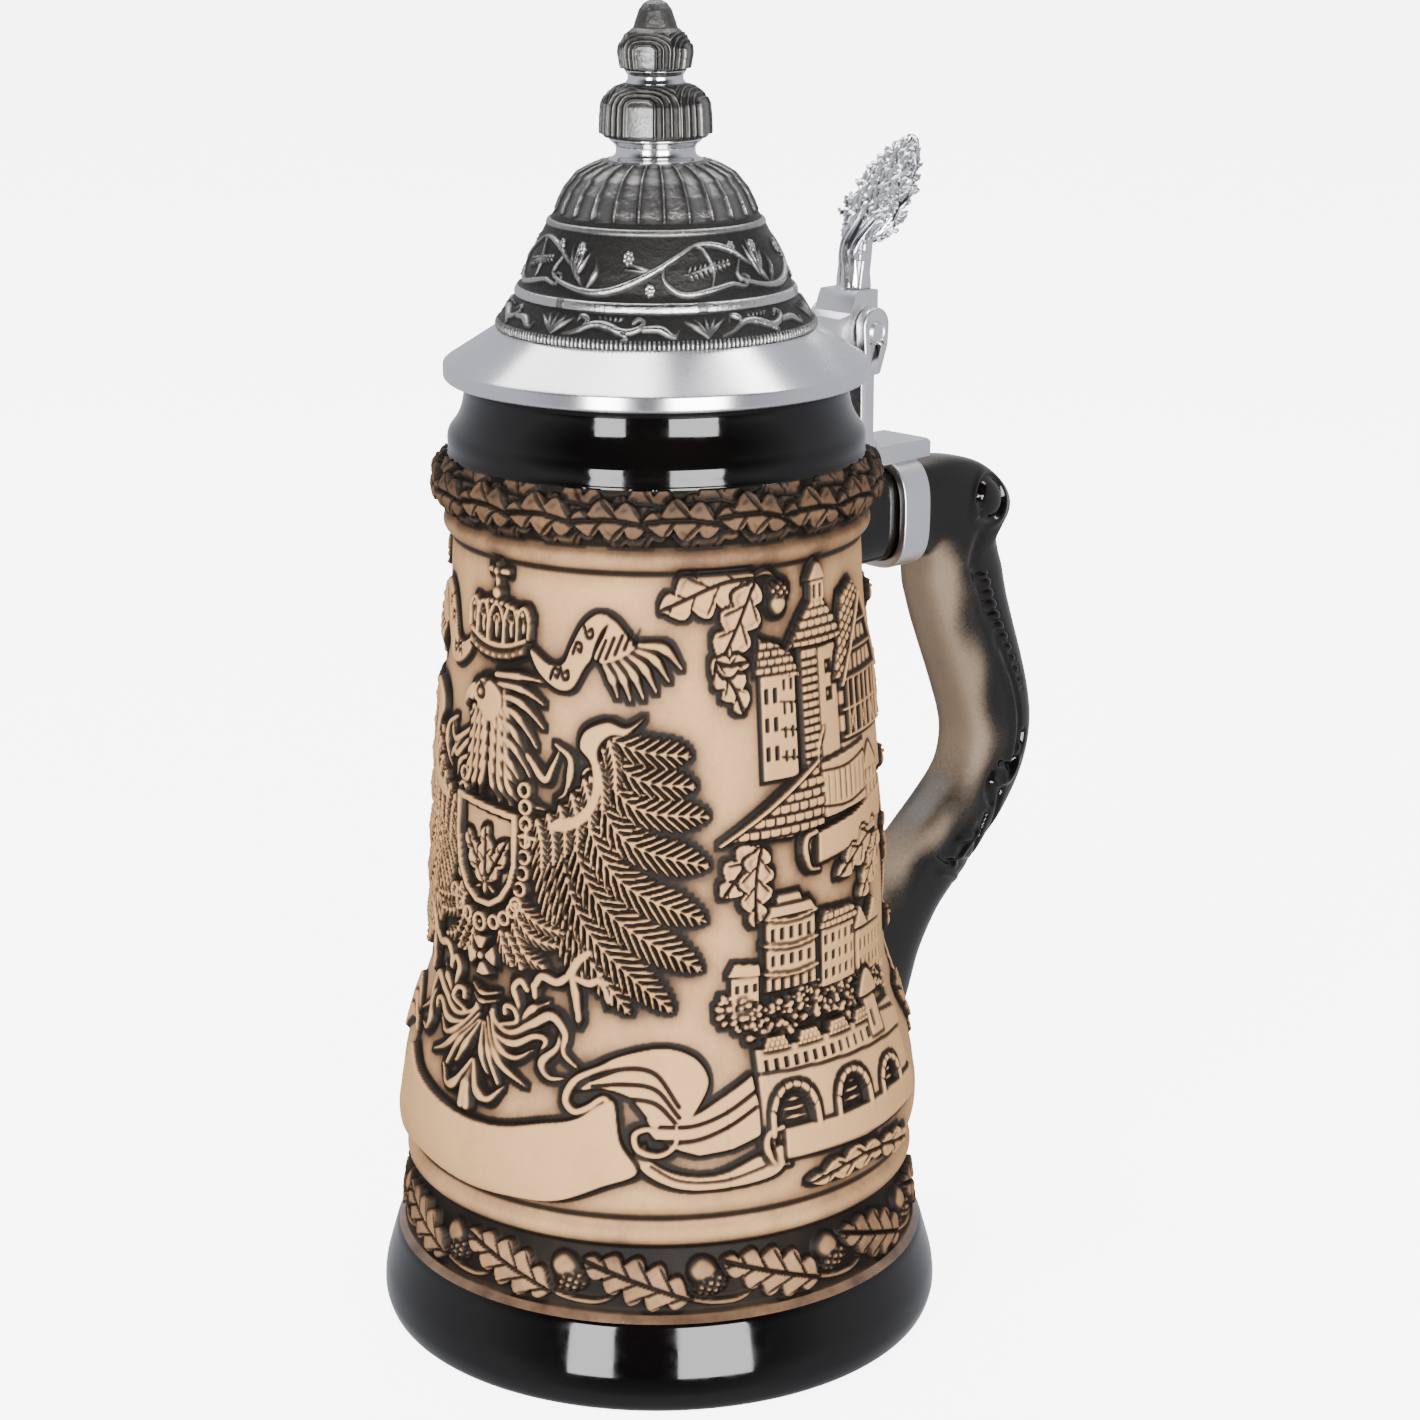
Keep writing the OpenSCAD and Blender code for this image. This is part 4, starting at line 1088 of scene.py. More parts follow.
def lip_glaze_paint():
    """Thin brown glaze where the black one breaks at the foot's lip."""
    p = Paint("breaking_glaze", roughness=0.2, coat=0.2)
    p.colour(p.ramp(p.noise(160, 5), [(0.3, (0.045, 0.024, 0.014)), (0.7, (0.13, 0.075, 0.043))]))
    p.roughness(p.ramp(p.noise(300, 4), [(0.3, 0.15), (0.8, 0.3)]))
    p.bump(p.noise(300, 4), 0.12, 0.0003)
    return p.material


def handle_paint():
    """Black glaze airbrushed over cream clay; the field says where the clay shows."""
    p = Paint("airbrushed_handle", roughness=0.14, specular=0.4)
    share = p.varied(p.field("clay"), p.noise(1600, 3, 0.8), 0.5, 0.5)
    clay = p.mix(p.noise(50, 3), (0.27, 0.20, 0.135), (0.19, 0.14, 0.096))
    shade = p.ramp(share, [(0.0, 0.012), (0.3, 0.08), (0.6, 0.36), (1.0, 1.0)])
    p.colour(p.mix(1.0, clay, shade, "MULTIPLY"))
    p.roughness(p.ramp(share, [(0.0, 0.09), (0.5, 0.4), (1.0, 0.62)]))
    p.bump(p.noise(300, 4), 0.08, 0.0003)
    return p.material


def satin_pewter_paint(name="satin_pewter", rough=0.34, turned=False):
    """Cast pewter, brushed satin; turned pieces show fine lathe marks."""
    p = Paint(name, roughness=rough, metallic=1.0, anisotropy=0.85 if turned else 0.0)
    p.colour(p.ramp(p.noise(55, 4), [(0.3, (0.75, 0.75, 0.77)), (0.7, (0.85, 0.85, 0.87))]))
    fine = p.noise(1500, 4, 0.7)
    spread = 0.01 if turned else 0.07
    p.roughness(p.ramp(fine, [(0.3, rough - spread), (0.75, rough + spread)]))
    if turned:
        p.turned_marks(300, 12, 0.006)
    else:
        p.bump(p.mix(0.4, fine, p.noise(240, 5)), 0.22, 0.0002)
    return p.material


def polished_pewter_paint():
    """Bright turned pewter with hairline marks."""
    p = Paint("polished_pewter", roughness=0.16, metallic=1.0, anisotropy=0.35)
    p.colour(p.ramp(p.noise(60, 4), [(0.3, (0.74, 0.74, 0.75)), (0.7, (0.84, 0.84, 0.85))]))
    p.roughness(p.ramp(p.noise(900, 3), [(0.3, 0.13), (0.8, 0.22)]))
    p.turned_marks(700, 10, 0.04)
    return p.material


def antique_pewter_paint():
    """Dark patina in the ground and bright metal where the high places were polished."""
    p = Paint("antique_pewter", roughness=0.42, metallic=1.0)
    grain = p.noise(1300, 5, 0.7)
    polish = p.varied(p.field("polish"), grain, 0.5, 0.3)
    p.colour(p.ramp(polish, [(0.0, (0.045, 0.043, 0.041)), (0.35, (0.10, 0.096, 0.092)),
                             (0.65, (0.22, 0.215, 0.21)), (1.0, (0.62, 0.62, 0.61))]))
    p.roughness(p.ramp(polish, [(0.0, 0.5), (0.6, 0.36), (1.0, 0.2)]))
    p.bump(p.mix(0.5, grain, p.noise(650, 3)), 0.6, 0.0004)
    return p.material


# ---------------------------------------------------------------- vessel

VESSEL_GRID = 0.25
MM_PER_DEG = 0.76
LOW_BAND = (18.6, 30.9)
FIELD = (36.6, 153.4)
TOP_BAND = (158.3, 167.9)
RELIEF_FROM, RELIEF_TO = 18.2, 168.2


def within(z, span):
    return (z > span[0]) & (z < span[1])


def highest_near(h, reach):
    """The greatest height within reach cells; the map wraps round."""
    out = h.copy()
    for k in range(1, reach + 1):
        out = np.maximum(out, np.maximum(np.roll(h, k, 1), np.roll(h, -k, 1)))
    tall = np.pad(out, ((reach, reach), (0, 0)), mode="edge")
    rows = h.shape[0]
    return np.max([tall[k:k + rows] for k in range(2 * reach + 1)], axis=0)


def stain_map(h, step):
    """How much stain is left, from 0 to 1, in a relief of height h."""
    below = highest_near(h, int(round(0.75 / step))) - h
    drop = smooth01((below - 0.08) / 0.5)
    halo = blur(below, 1.2 / step)
    far = blur(below, 3.6 / step)
    ground = 1 - smooth01(h / 0.6)
    stain = 0.95 * blur(drop, 0.14 / step) + 0.5 * halo * (0.3 + 0.7 * ground) + 0.5 * far * ground
    stain -= 0.3 * smooth01((h - blur(h, 0.8 / step)) / 0.3) * (1 - ground)
    return np.clip(stain, 0, 1)


def band_stain_and_shade(y, h, bands):
    """Stain and painted shade that belong to the bands: their dark ground, the seams at the rings, and
    browner tops; the broad darkening beside the rings and over the garlands is partly painted shade.
    """
    ground = blur((bands[:, None] & (h < 0.3)) * 0.75, 0.3 / VESSEL_GRID)
    edges = (LOW_BAND[1], FIELD[0], 153.2, 158.2)
    seam = np.clip(sum(bell(y - edge, 0.55) for edge in edges), 0, 1)
    # Painted shade and stain: a broad darkening on each side of the rings, partly standing in for the shadow
    # of the rings.
    wide_seam_stain_and_shade = sum(bell(y - edge, 2.2) for edge in edges)
    # Painted shade and stain: the garlands are darkened all over, partly as stain and partly for the shade
    # they lie in; the lower band less.
    brown = 0.12 * smooth01((y - 162) / 4) + 0.38 * smooth01((y - 158) / 1.5) + 0.27 * (y < LOW_BAND[1])
    return np.maximum(ground, 0.8 * seam[:, None]), (0.2 * wide_seam_stain_and_shade + brown)[:, None]


def vessel_relief():
    """The whole relief drawn as one map, with its stain and the painted shade of its bands."""
    r = Relief(18, 170, MM_PER_DEG, VESSEL_GRID)
    draw_picture(r)
    picture = r.h.copy()
    r.h[:] = 0
    draw_garlands(r)
    field = within(r.y, FIELD)
    bands = within(r.y, LOW_BAND) | within(r.y, TOP_BAND)
    r.h = np.where(field[:, None], picture, r.h) * (field | bands)[:, None]
    # The bands add stain and painted shade to the relief's own stain.
    least, stain_and_shade_extra = band_stain_and_shade(r.y, r.h, bands)
    return r, np.clip(np.maximum(stain_map(r.h, VESSEL_GRID), least) + stain_and_shade_extra, 0, 1)


def on_rows(r, values, z, use):
    """A map's values at the heights of an outline's points, for those that use says."""
    row = np.clip((z - r.y[0]) / (r.y[1] - r.y[0]), 0, r.rows - 1.001)
    low = row.astype(int)
    part = (row - low)[:, None]
    return np.where(use[:, None], values[low] * (1 - part) + values[low + 1] * part, 0)


def ground_inset(z):
    """How far the ground lies under the CAD outline, so that the relief stays inside it."""
    low_band = smooth01((z - RELIEF_FROM) / 0.8) * smooth01((31.2 - z) / 0.8)
    top_band = smooth01((z - 158) / 0.8) * smooth01((RELIEF_TO - z) / 0.8)
    field = smooth01((z - 36.4) / 1.2) * smooth01((FIELD[1] - z) / 1.2)
    return 0.9 * (low_band + top_band) + 0.35 * field


def make_vessel(clay, glaze, inner, lip):
    """The whole stoneware body as one closed mesh: relief field, glazed foot, neck and inside.

    Its outline starts and ends at the foot's edge, and a flat cap closes each end there.
    """
    line = smooth_outline(cad_outline("stoneware_body"), VESSEL_GRID, 0.45)
    z = line[:, 1]
    outside = np.arange(len(line)) < np.argmax(z)
    # stain holds the relief's umber stain and, on the garland bands, painted shade as well.
    relief, stain = vessel_relief()
    use = outside & within(z, (RELIEF_FROM, RELIEF_TO))
    rise = on_rows(relief, relief.h, z, use) - (ground_inset(z) * outside)[:, None]
    paint = np.full(len(line), 1)
    paint[outside & within(z, (RELIEF_FROM, TOP_BAND[1]))] = 0
    paint[outside & (z >= 16.9) & (z <= RELIEF_FROM)] = 3
    paint[~outside & (z < z.max() - 4)] = 2
    points = turn_grid(line, outline_normals(line), turns(relief.columns), rise)
    vessel = add_grid("stoneware_vessel", points, [clay, glaze, inner, lip], False, slots=paint[:-1],
                      fields={"stain": on_rows(relief, stain, z, use)})
    finish_piece(vessel, "stein", "stoneware", "stoneware_body")


# ---------------------------------------------------------------- camera, lights, floor

def aimed(thing, place, forward):
    """Puts a camera or light at a place and turns it to look along forward."""
    thing.location = place
    thing.rotation_mode = "QUATERNION"
    thing.rotation_quaternion = Vector(forward).to_track_quat("-Z", "Y")


def make_camera():
    """The photo's view: from the side opposite the handle, turned 45 degrees and looking down."""
    data = bpy.data.cameras.new("camera")
    data.lens = 82.8
    data.sensor_width = 36
    data.shift_x = 0.0094
    data.clip_start = 0.01
    pitch = 0.278
    level = math.cos(pitch) * math.sqrt(0.5)
    camera = link_object("camera", data)
    aimed(camera, (-0.4099, -0.4202, 0.28555), (level, level, -math.sin(pitch)))
    bpy.context.scene.camera = camera


def soft_light(name, place, target, size, power, glossy=True):
    data = bpy.data.lights.new(name, "AREA")
    data.shape = "RECTANGLE"
    data.size, data.size_y = size
    data.energy = power
    light = link_object(name, data)
    aimed(light, place, Vector(target) - Vector(place))
    light.visible_camera = False
    light.visible_glossy = glossy


def around(azimuth, distance, height):
    """A place by its azimuth from the viewing side (positive to the right), distance and height."""
    a = math.radians(azimuth)
    side = distance * math.sqrt(0.5)
    return side * (math.sin(a) - math.cos(a)), side * (-math.sin(a) - math.cos(a)), height


def make_lights():
    """Two tall strips in front, two panels overhead and a soft fill that metal doesn't mirror."""
    soft_light("left_strip", around(-26, 1.1, 0.13), (0, 0, 0.13), (0.34, 0.68), 18)
    soft_light("right_strip", around(22, 1.1, 0.13), (0, 0, 0.13), (0.56, 0.68), 29)
    for side, name in ((-1, "left_panel"), (1, "right_panel")):
        x, y = 0.25 - 0.2 * side, 0.25 + 0.2 * side
        soft_light(name, (x, y, 0.95), (x, y, 0), (0.16, 0.8), 5)
    soft_light("fill", around(-30, 1.3, 0.9), (0, 0, 0.12), (0.9, 0.9), 24, glossy=False)


def make_room():
    """An even grey room; glossy rays see it dark above the front and pale behind and below."""
    world = bpy.data.worlds.new("studio")
    world.use_nodes = True
    tree = world.node_tree
    ray = tree.nodes.new("ShaderNodeLightPath")
    place = tree.nodes.new("ShaderNodeTexCoord")
    dot = tree.nodes.new("ShaderNodeVectorMath")
    dot.operation = "DOT_PRODUCT"
    dot.inputs[1].default_value = (-0.56, -0.56, 0.55)
    room = tree.nodes.new("ShaderNodeValToRGB")
    stops = room.color_ramp.elements
    stops[0].position, stops[0].color = 0.2, (0.66, 0.67, 0.72, 1)
    stops[1].position, stops[1].color = 0.7, (0.035, 0.035, 0.04, 1)
    mix = tree.nodes.new("ShaderNodeMix")
    mix.data_type = "RGBA"
    mix.inputs["A"].default_value = (0.5, 0.5, 0.52, 1)
    tree.links.new(place.outputs["Generated"], dot.inputs[0])
    tree.links.new(dot.outputs["Value"], room.inputs["Fac"])
    tree.links.new(ray.outputs["Is Glossy Ray"], mix.inputs["Factor"])
    tree.links.new(room.outputs["Color"], mix.inputs["B"])
    tree.links.new(mix.outputs["Result"], tree.nodes["Background"].inputs["Color"])
    bpy.context.scene.world = world


def make_floor():
    """A wide pale floor that glows a little, just under the foot."""
    paint = Paint("pale_floor", roughness=0.9, specular=0.1)
    paint.colour(paint.ramp(paint.noise(3, 2), [(0.0, 0.88), (1.0, 0.93)]))
    paint.shader.inputs["Emission Color"].default_value = (1, 1, 1, 1)
    paint.shader.inputs["Emission Strength"].default_value = 6
    reach = 40000
    corners = [(-reach, -reach, 0), (reach, -reach, 0), (reach, reach, 0), (-reach, reach, 0)]
    floor = add_mesh("floor", corners, [(0, 1, 2, 3)], paint.material)
    floor.location.z = -0.0002
    floor.visible_glossy = False
    floor.visible_diffuse = False


# ---------------------------------------------------------------- handle

HANDLE_STROKES = [
    # points (x, z), half width and how far the stroke stands out
    ([(84, 139.5), (81.8, 134), (84, 128)], 1.1, -0.45), ([(93.5, 139.5), (91.3, 137.3)], 0.8, -1.2),
    ([(99.5, 94.5), (98.8, 90.6), (95.5, 88.2), (92.6, 89.2)], 0.7, -1.0),
    ([(99, 91.5), (96.6, 86.4), (92.6, 84.6), (89.8, 86)], 0.8, 0.75),
    ([(90, 88), (88.4, 84.4), (90, 81)], 0.55, -0.7), ([(99.5, 82), (96.5, 78), (93.5, 71)], 0.6, -0.9),
    ([(93, 84), (92, 77), (89, 70.5)], 0.7, -0.8), ([(88.6, 79), (86.4, 74), (86.6, 69)], 0.6, -0.8),
    ([(84.5, 78.5), (83, 75.5), (80.4, 75.2), (78.4, 72.8)], 0.6, 0.9),
    ([(86, 76), (82.4, 73.2), (79.2, 70.6)], 0.7, 0.8), ([(82, 77), (79.6, 75.6)], 0.6, 0.7),
    ([(74, 73.6), (77, 71.4), (82, 70.4), (88, 68.4)], 0.55, -0.85),
    ([(75, 69.6), (80, 67.4), (84.4, 62.4)], 0.7, 0.5), ([(92, 70), (88, 66.5), (84.6, 62)], 0.9, 0.6),
]


def cad_sweep(name):
    """The outer and inner lines of the handle's CAD solid and its width, ring by ring."""
    links = section_links(name)
    count = len(links) // 2
    root = sorted(links, key=lambda p: (round(p[0], 1), -p[1]))[:2]
    lines = []
    for start, other in (root, root[::-1]):
        path, seen = [start], {start, other}
        while len(path) < count and (ahead := [q for q in links[path[-1]] if q not in seen]):
            path.append(ahead[0])
            seen.add(ahead[0])
        lines.append(np.array(path))
    outer, inner = lines
    co = node_points(name)
    width = [co[np.hypot(co[:, 0] - x, co[:, 2] - z) < 0.1][:, 1].max() * 2 for x, z in (outer + inner) / 2]
    return outer, inner, np.array(width)


def gap_to(line, x, z):
    """Distance from each place to a line."""
    a, d = line[:-1], np.diff(line, axis=0)
    dx, dz = x[..., None] - a[:, 0], z[..., None] - a[:, 1]
    t = np.clip((dx * d[:, 0] + dz * d[:, 1]) / (d ** 2).sum(1), 0, 1)
    return np.hypot(dx - t * d[:, 0], dz - t * d[:, 1]).min(-1)


def handle_eye(x, z):
    """The round boss in its scroll at the shoulder."""
    x, z = x - 87.6, z - 146.2
    d = np.hypot(x, z)
    boss = 0.8 * np.sqrt(np.clip(1 - (d / 3.4) ** 2, 0, 1))
    groove = 0.85 * bell(d - 4.3, 0.55) * (np.arctan2(z, x) > -2.6)
    return boss - groove + 0.35 * bell(d - 5.6, 0.8)


def handle_beads(x, z, edge, back):
    """The row of beads down the outer edge of the sides, with a groove and a rib beside it.

    edge is the distance in from the back and back the length along it.
    """
    run = smooth01((134 - z) / 3) * smooth01((z - 80) / 12) * (x > 80)
    row = 4.6 + 4.6 * smooth01((z - 100) / 34)
    pitch = 2.9
    size = 0.5 + 0.75 * smooth01((z - 103) / 26)
    gap = np.hypot((back % pitch) - pitch / 2, edge - row)
    bead = 0.7 * size * np.sqrt(np.clip(1 - (gap / (size * 1.25)) ** 2, 0, 1))
    beads = (bead - 0.3 * bell(gap - size * 1.4, 0.25)) * within(z, (104, 131)) * (x > 80)
    return beads + run * (0.35 * bell(edge - row - 3.6, 0.7) - 0.55 * bell(edge - row - 2.4, 0.5))


def handle_clay(x, z, share, across, back):
    """Where bare clay shows, from 0 to 1: the inner part of the sides and the inner face.

    share goes from 0 at the back to 1 at the inner face, and across from 1 to -1.
    """
    wave = 0.05 * np.sin(z * 0.35) + 0.04 * np.sin(x * 0.6 + 1)
    start = np.interp(z, [46, 58, 66, 73, 80, 88, 100, 116, 130, 139, 146],
                      [0.95, 0.82, 0.76, 0.86, 0.72, 0.74, 0.76, 0.74, 0.70, 0.76, 1.2])
    clay = smooth01((share - start + wave + 0.2) / 0.42)
    clay *= smooth01((z - 40) / 14) * smooth01((back - 36) / 9 + 0.2 * wave)
    # Darker at two places, where the clay share is lowered: a broad patch on the inner face round z = 83 and
    # a thin line at z = 72.
    darker_spots = 0.55 * bell(z - 83, 6) * bell(share - 1, 0.16) + 0.6 * bell(z - 72, 1.3) * bell(x - 79, 7)
    root_tint = 0.5 * bell(x - 70, 6) * smooth01((across - 0.8) / 0.2) * (z > 150)
    return np.clip(clay - darker_spots + root_tint, 0, 1)


def rounded_square(a, power):
    """Cosine and sine of a turned about a square with rounded corners."""
    return [np.sign(f) * np.abs(f) ** power for f in (np.cos(a), np.sin(a))]


def capped(points):
    """The rings of a sweep and, before and after them, a row that stands in the end ring's middle."""
    ends = [np.repeat(points[k].mean(0)[None, None], points.shape[1], 1) for k in (0, -1)]
    return np.concatenate([ends[0], points, ends[1]])


def make_handle(paint):
    """The handle: a dense sweep on the CAD solid's lines with its moulded ornament."""
    outer, inner, width = cad_sweep("handle")
    outer, inner = curve(outer, 12), curve(inner, 12)
    width = curve(np.stack([width, width], 1), 12)[:, :1]
    across, side = rounded_square(FULL_TURN * np.arange(168) / 168, 0.62)
    depth = np.hypot(*(outer - inner).T)[:, None]
    middle, half = (outer + inner) / 2, (outer - inner) / 2
    x = middle[:, :1] + half[:, :1] * across
    z = middle[:, 1:] + half[:, 1:] * across
    edge = (1 - across) / 2 * depth
    back = arc_length(outer)[:, None] + 0 * edge
    lift = handle_eye(x, z) + handle_beads(x, z, edge, back)
    for line, stroke_width, amount in HANDLE_STROKES:
        lift += amount * bell(gap_to(curve(line), x, z), stroke_width)
    flat = smooth01((np.abs(side) - 0.55) / 0.35)
    y = width / 2 * side + np.sign(side) * flat * (lift - 0.35)
    thumb_crown = 0.5 * bell(z - 76, 2.2) * bell(x - 97, 3)
    clay = handle_clay(x, z, edge / depth, across, back)
    ends = np.concatenate([clay[:1], clay, clay[-1:]])
    handle = add_grid("handle_grip", capped(np.stack([x + thumb_crown, y, z], -1)), [paint], False,
                      fields={"clay": ends})
    finish_piece(handle, "stein", "black_glaze", "handle")


# ---------------------------------------------------------------- pewter mount and hinge

BAND_T = 1.7
TRUNK_H = 8.3
CROWN_L = 26.0
CROWN_LEAN = math.radians(41)


def soften_node(name, material, width):
    """Keeps a CAD node, with welded, rounded edges and a better material."""
    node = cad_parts[name]
    node.data.materials.clear()
    node.data.materials.append(material)
    weld = node.modifiers.new("weld", "WELD")
    weld.merge_threshold = 0.00001
    round_edges(node, width, 34)
    node.data.polygons.foreach_set("use_smooth", [True] * len(node.data.polygons))


def make_band(paint):
    """The band round the handle's root, with rounded edges and slightly hammered faces."""
    low, high = box_mm("handle_band")
    half_y, centre_z, half_z = (high[1] - low[1]) / 2, (high[2] + low[2]) / 2, (high[2] - low[2]) / 2
    wide, thick = high[0] - low[0], BAND_T
    section = smooth_outline([(0, -thick), (wide, -thick), (wide, 0), (0, 0)], 0.12, 0.3)
    a = FULL_TURN * np.arange(260) / 260
    ring_z, ring_y = rounded_square(a, 2 / 3)
    out = section[:, 1:] + 0.05 * np.sin(5 * a) * np.sin(3 * a + 1)
    x = low[0] + section[:, :1] + 0 * a
    points = np.stack([x, (half_y + out) * ring_y, centre_z + (half_z + out) * ring_z], -1)
    band = add_grid("band", points, [paint], True)
    finish_piece(band, "stein", "pewter_satin", "handle_band")


def leaf_points(length, width, lobes, cup, rows=13, columns=7):
    """The upper face of a small lobed leaf that lies along +X."""
    t = np.linspace(0, 1, rows)[:, None]
    s = np.linspace(-1, 1, columns)[None]
    lobe = 0.72 + 0.28 * np.cos(FULL_TURN * (lobes * t - 0.5))
    half = width / 2 * np.sin(np.pi * t ** 0.75) ** 0.6 * lobe
    top = cup * (1 - s * s) * np.sin(np.pi * t) + 0.16 * np.abs(s) - 0.105 * length * t * t
    return np.stack([length * t + 0 * s, half * s, top], -1)


def leaf_mesh(points, thick):
    """Vertices and faces of a leaf with its underside."""
    rows, columns = points.shape[:2]
    upper = points.reshape(-1, 3)
    n = rows * columns
    faces = []
    for a in (i * columns + j for i in range(rows - 1) for j in range(columns - 1)):
        faces.append((a, a + columns, a + columns + 1, a + 1))
        faces.append((n + a, n + a + 1, n + a + columns + 1, n + a + columns))
    rim = [i * columns for i in range(rows)] + [(rows - 1) * columns + j for j in range(1, columns)]
    rim += [i * columns + columns - 1 for i in range(rows - 2, -1, -1)] + list(range(columns - 2, 0, -1))
    faces += [(a, b, b + n, a + n) for a, b in zip(rim, rim[1:] + rim[:1])]
    return np.vstack([upper, upper - [0, 0, thick]]), faces


def tube_faces(rings, sides):
    """Faces of a tube of rings of points, with closed ends."""
    faces = [(i * sides + j, i * sides + (j + 1) % sides, (i + 1) * sides + (j + 1) % sides,
              (i + 1) * sides + j) for i in range(rings - 1) for j in range(sides)]
    last = (rings - 1) * sides
    return faces + [tuple(range(sides - 1, -1, -1)), tuple(last + j for j in range(sides))]


def bark_tube(points, radii):
    """Vertices and faces of a tube along points, with bark-like ridges."""
    sides, bark = 16, 0.16
    p = curve(points, 8)
    t = np.linspace(0, 1, len(p))
    r = np.interp(t, np.linspace(0, 1, len(radii)), radii)
    tangent = np.gradient(p, axis=0)
    tangent /= np.linalg.norm(tangent, axis=1)[:, None]
    first = np.cross(tangent, [0, 1, 0.1])
    first /= np.linalg.norm(first, axis=1)[:, None]
    second = np.cross(tangent, first)
    a = FULL_TURN * np.arange(sides) / sides
    ridges = np.sin(5 * a + 7 * t[:, None]) * 0.6 + np.sin(9 * a - 11 * t[:, None]) * 0.4
    ring = first[:, None] * np.cos(a)[:, None] + second[:, None] * np.sin(a)[:, None]
    co = p[:, None] + ring * (r[:, None] * (1 + bark * ridges))[..., None]
    return co.reshape(-1, 3), tube_faces(len(p), sides)


def join_parts(parts):
    """One vertex and face list from several."""
    points, faces, base = [], [], 0
    for co, fs in parts:
        points.append(co)
        faces += [tuple(v + base for v in f) for f in fs]
        base += len(co)
    return np.vstack(points), faces


def slab(name, outline, y0, y1, round_by, material):
    """A plate with rounded edges from an outline in the XZ plane."""
    n = len(outline)
    co = [(x, y, z) for y in (y0, y1) for x, z in outline]
    faces = [tuple(range(n)), tuple(range(2 * n - 1, n - 1, -1))]
    faces += [(i, i + n, (i + 1) % n + n, (i + 1) % n) for i in range(n)]
    piece = add_mesh(name, co, faces, material)
    round_edges(piece, round_by, 25)
    return piece


class Crown:
    """Where the leafy crown stands: its foot and its own directions."""

    def __init__(self):
        block_high = box_mm("hinge_block")[1]
        self.x, self.base_z = block_high[0] - 2.1, block_high[2]
        self.z = self.base_z + TRUNK_H
        self.start = np.array([self.x + 0.2, 0, self.z])
        self.up = np.array([math.sin(CROWN_LEAN), 0, math.cos(CROWN_LEAN)])
        self.out = np.array([-math.cos(CROWN_LEAN), 0, math.sin(CROWN_LEAN)])

    def place(self, up, y, out):
        return self.start + self.up * up + [0, y, 0] + self.out * out


def crown_half(v):
    """Half the crown's width at a share of its length."""
    return float(np.interp(v, [0, 0.08, 0.2, 0.36, 0.5, 0.66, 0.8, 0.92, 1],
                           [1.5, 4.6, 6.0, 6.8, 6.3, 5.4, 4.0, 2.2, 0.3]))


def make_lift_stem(crown, paint):
    """The flared flat stem and the collar across it."""
    x, base, top = crown.x, crown.base_z, crown.z
    flare = [(x - 1.9, base - 0.05), (x - 1.5, base + 2.6), (x - 1.0, base + 5.4), (x - 0.6, top + 0.6),
             (x + 2.2, top + 2.4), (x + 1.9, top - 1.2), (x + 1.4, base + 3.2), (x + 1.8, base - 0.05)]
    stem = slab("thumb_lift_stem", flare, -3.2, 3.2, 0.5, paint)
    finish_piece(stem, "lid", "pewter_satin", "thumb_lift")
    band = [(x - 2.3, base + 5.6), (x - 2.1, base + 7.2), (x + 0.2, base + 7.6), (x + 0.2, base + 5.2)]
    collar = slab("thumb_lift_collar", band, -3.5, -0.8, 0.45, paint)
    finish_piece(collar, "lid", "pewter_satin")


def make_lift_trunk(crown, paint):
    """Barked roots that twist up the stem and into the crown."""
    parts = []
    for y0, y1, y2, wide in ((-0.2, 0.4, 0.3, 1.7), (-1.2, -1.4, -3.4, 1.2), (1.4, 1.6, 3.4, 1.2),
                             (0.8, -0.6, -1.6, 0.9), (-1.8, 0.9, 2.4, 0.9)):
        line = [(crown.x - 1.4, y0, crown.base_z + 0.1),
                (crown.x - 1.5, (y0 + y1) / 2, crown.base_z + 4.2), (crown.x - 0.9, y1, crown.z),
                crown.place(7, y2, 1.0), crown.place(15, y2 * 1.2, 0.6)]
        parts.append(bark_tube(line, [wide * 1.15, wide * 0.8, wide * 0.85, wide * 0.55, 0.25]))
    trunk = add_mesh("thumb_lift_trunk", *join_parts(parts), paint)
    finish_piece(trunk, "lid", "pewter_satin")


def make_crown_core(crown, paint):
    """The solid middle of the crown, that the leaves grow from."""
    rows, sides = 30, 36
    co = []
    for v in np.linspace(0, 0.97, rows):
        wide = crown_half(v) * 0.9
        thick = 1.1 + 0.7 * math.sin(math.pi * v)
        for a in FULL_TURN * np.arange(sides) / sides:
            bump = 1 + 0.1 * math.sin(7 * a + 9 * v) + 0.08 * math.sin(31 * v + 4 * a)
            co.append(crown.place(v * CROWN_L, wide * math.cos(a) * bump, thick * math.sin(a) * bump))
    core = add_mesh("thumb_lift_crown", co, tube_faces(rows, sides), paint)
    finish_piece(core, "lid", "pewter_satin")


def crown_leaf(crown, face, rng):
    """One cast leaf at a random place on a face of the crown, pointing up and outwards."""
    v = rng.uniform(0.05, 0.94)
    u = rng.uniform(-0.93, 0.93)
    size = rng.uniform(3.0, 4.6) * (0.8 + 0.25 * (1 - abs(u)))
    spread = u * 0.9 + rng.uniform(-0.7, 0.7)
    tilt = rng.uniform(0.05, 0.42)
    ahead = crown.up * math.cos(spread) + np.array([0, math.sin(spread), 0])
    ahead = ahead * math.cos(tilt) + crown.out * face * math.sin(tilt)
    side = np.cross(crown.out * face, ahead)
    turn = np.stack([ahead, side, np.cross(ahead, side)], 1)
    bulge = (1.15 + 0.9 * (1 - u * u) * math.sin(math.pi * v) ** 0.7) * face
    at = crown.place(v * CROWN_L * 0.9, u * crown_half(v), bulge * 0.9)
    leaf, faces = leaf_mesh(leaf_points(size, size * 0.62, 3, 0.35), 0.22)
    return leaf @ turn.T + at - ahead * size * 0.35, faces


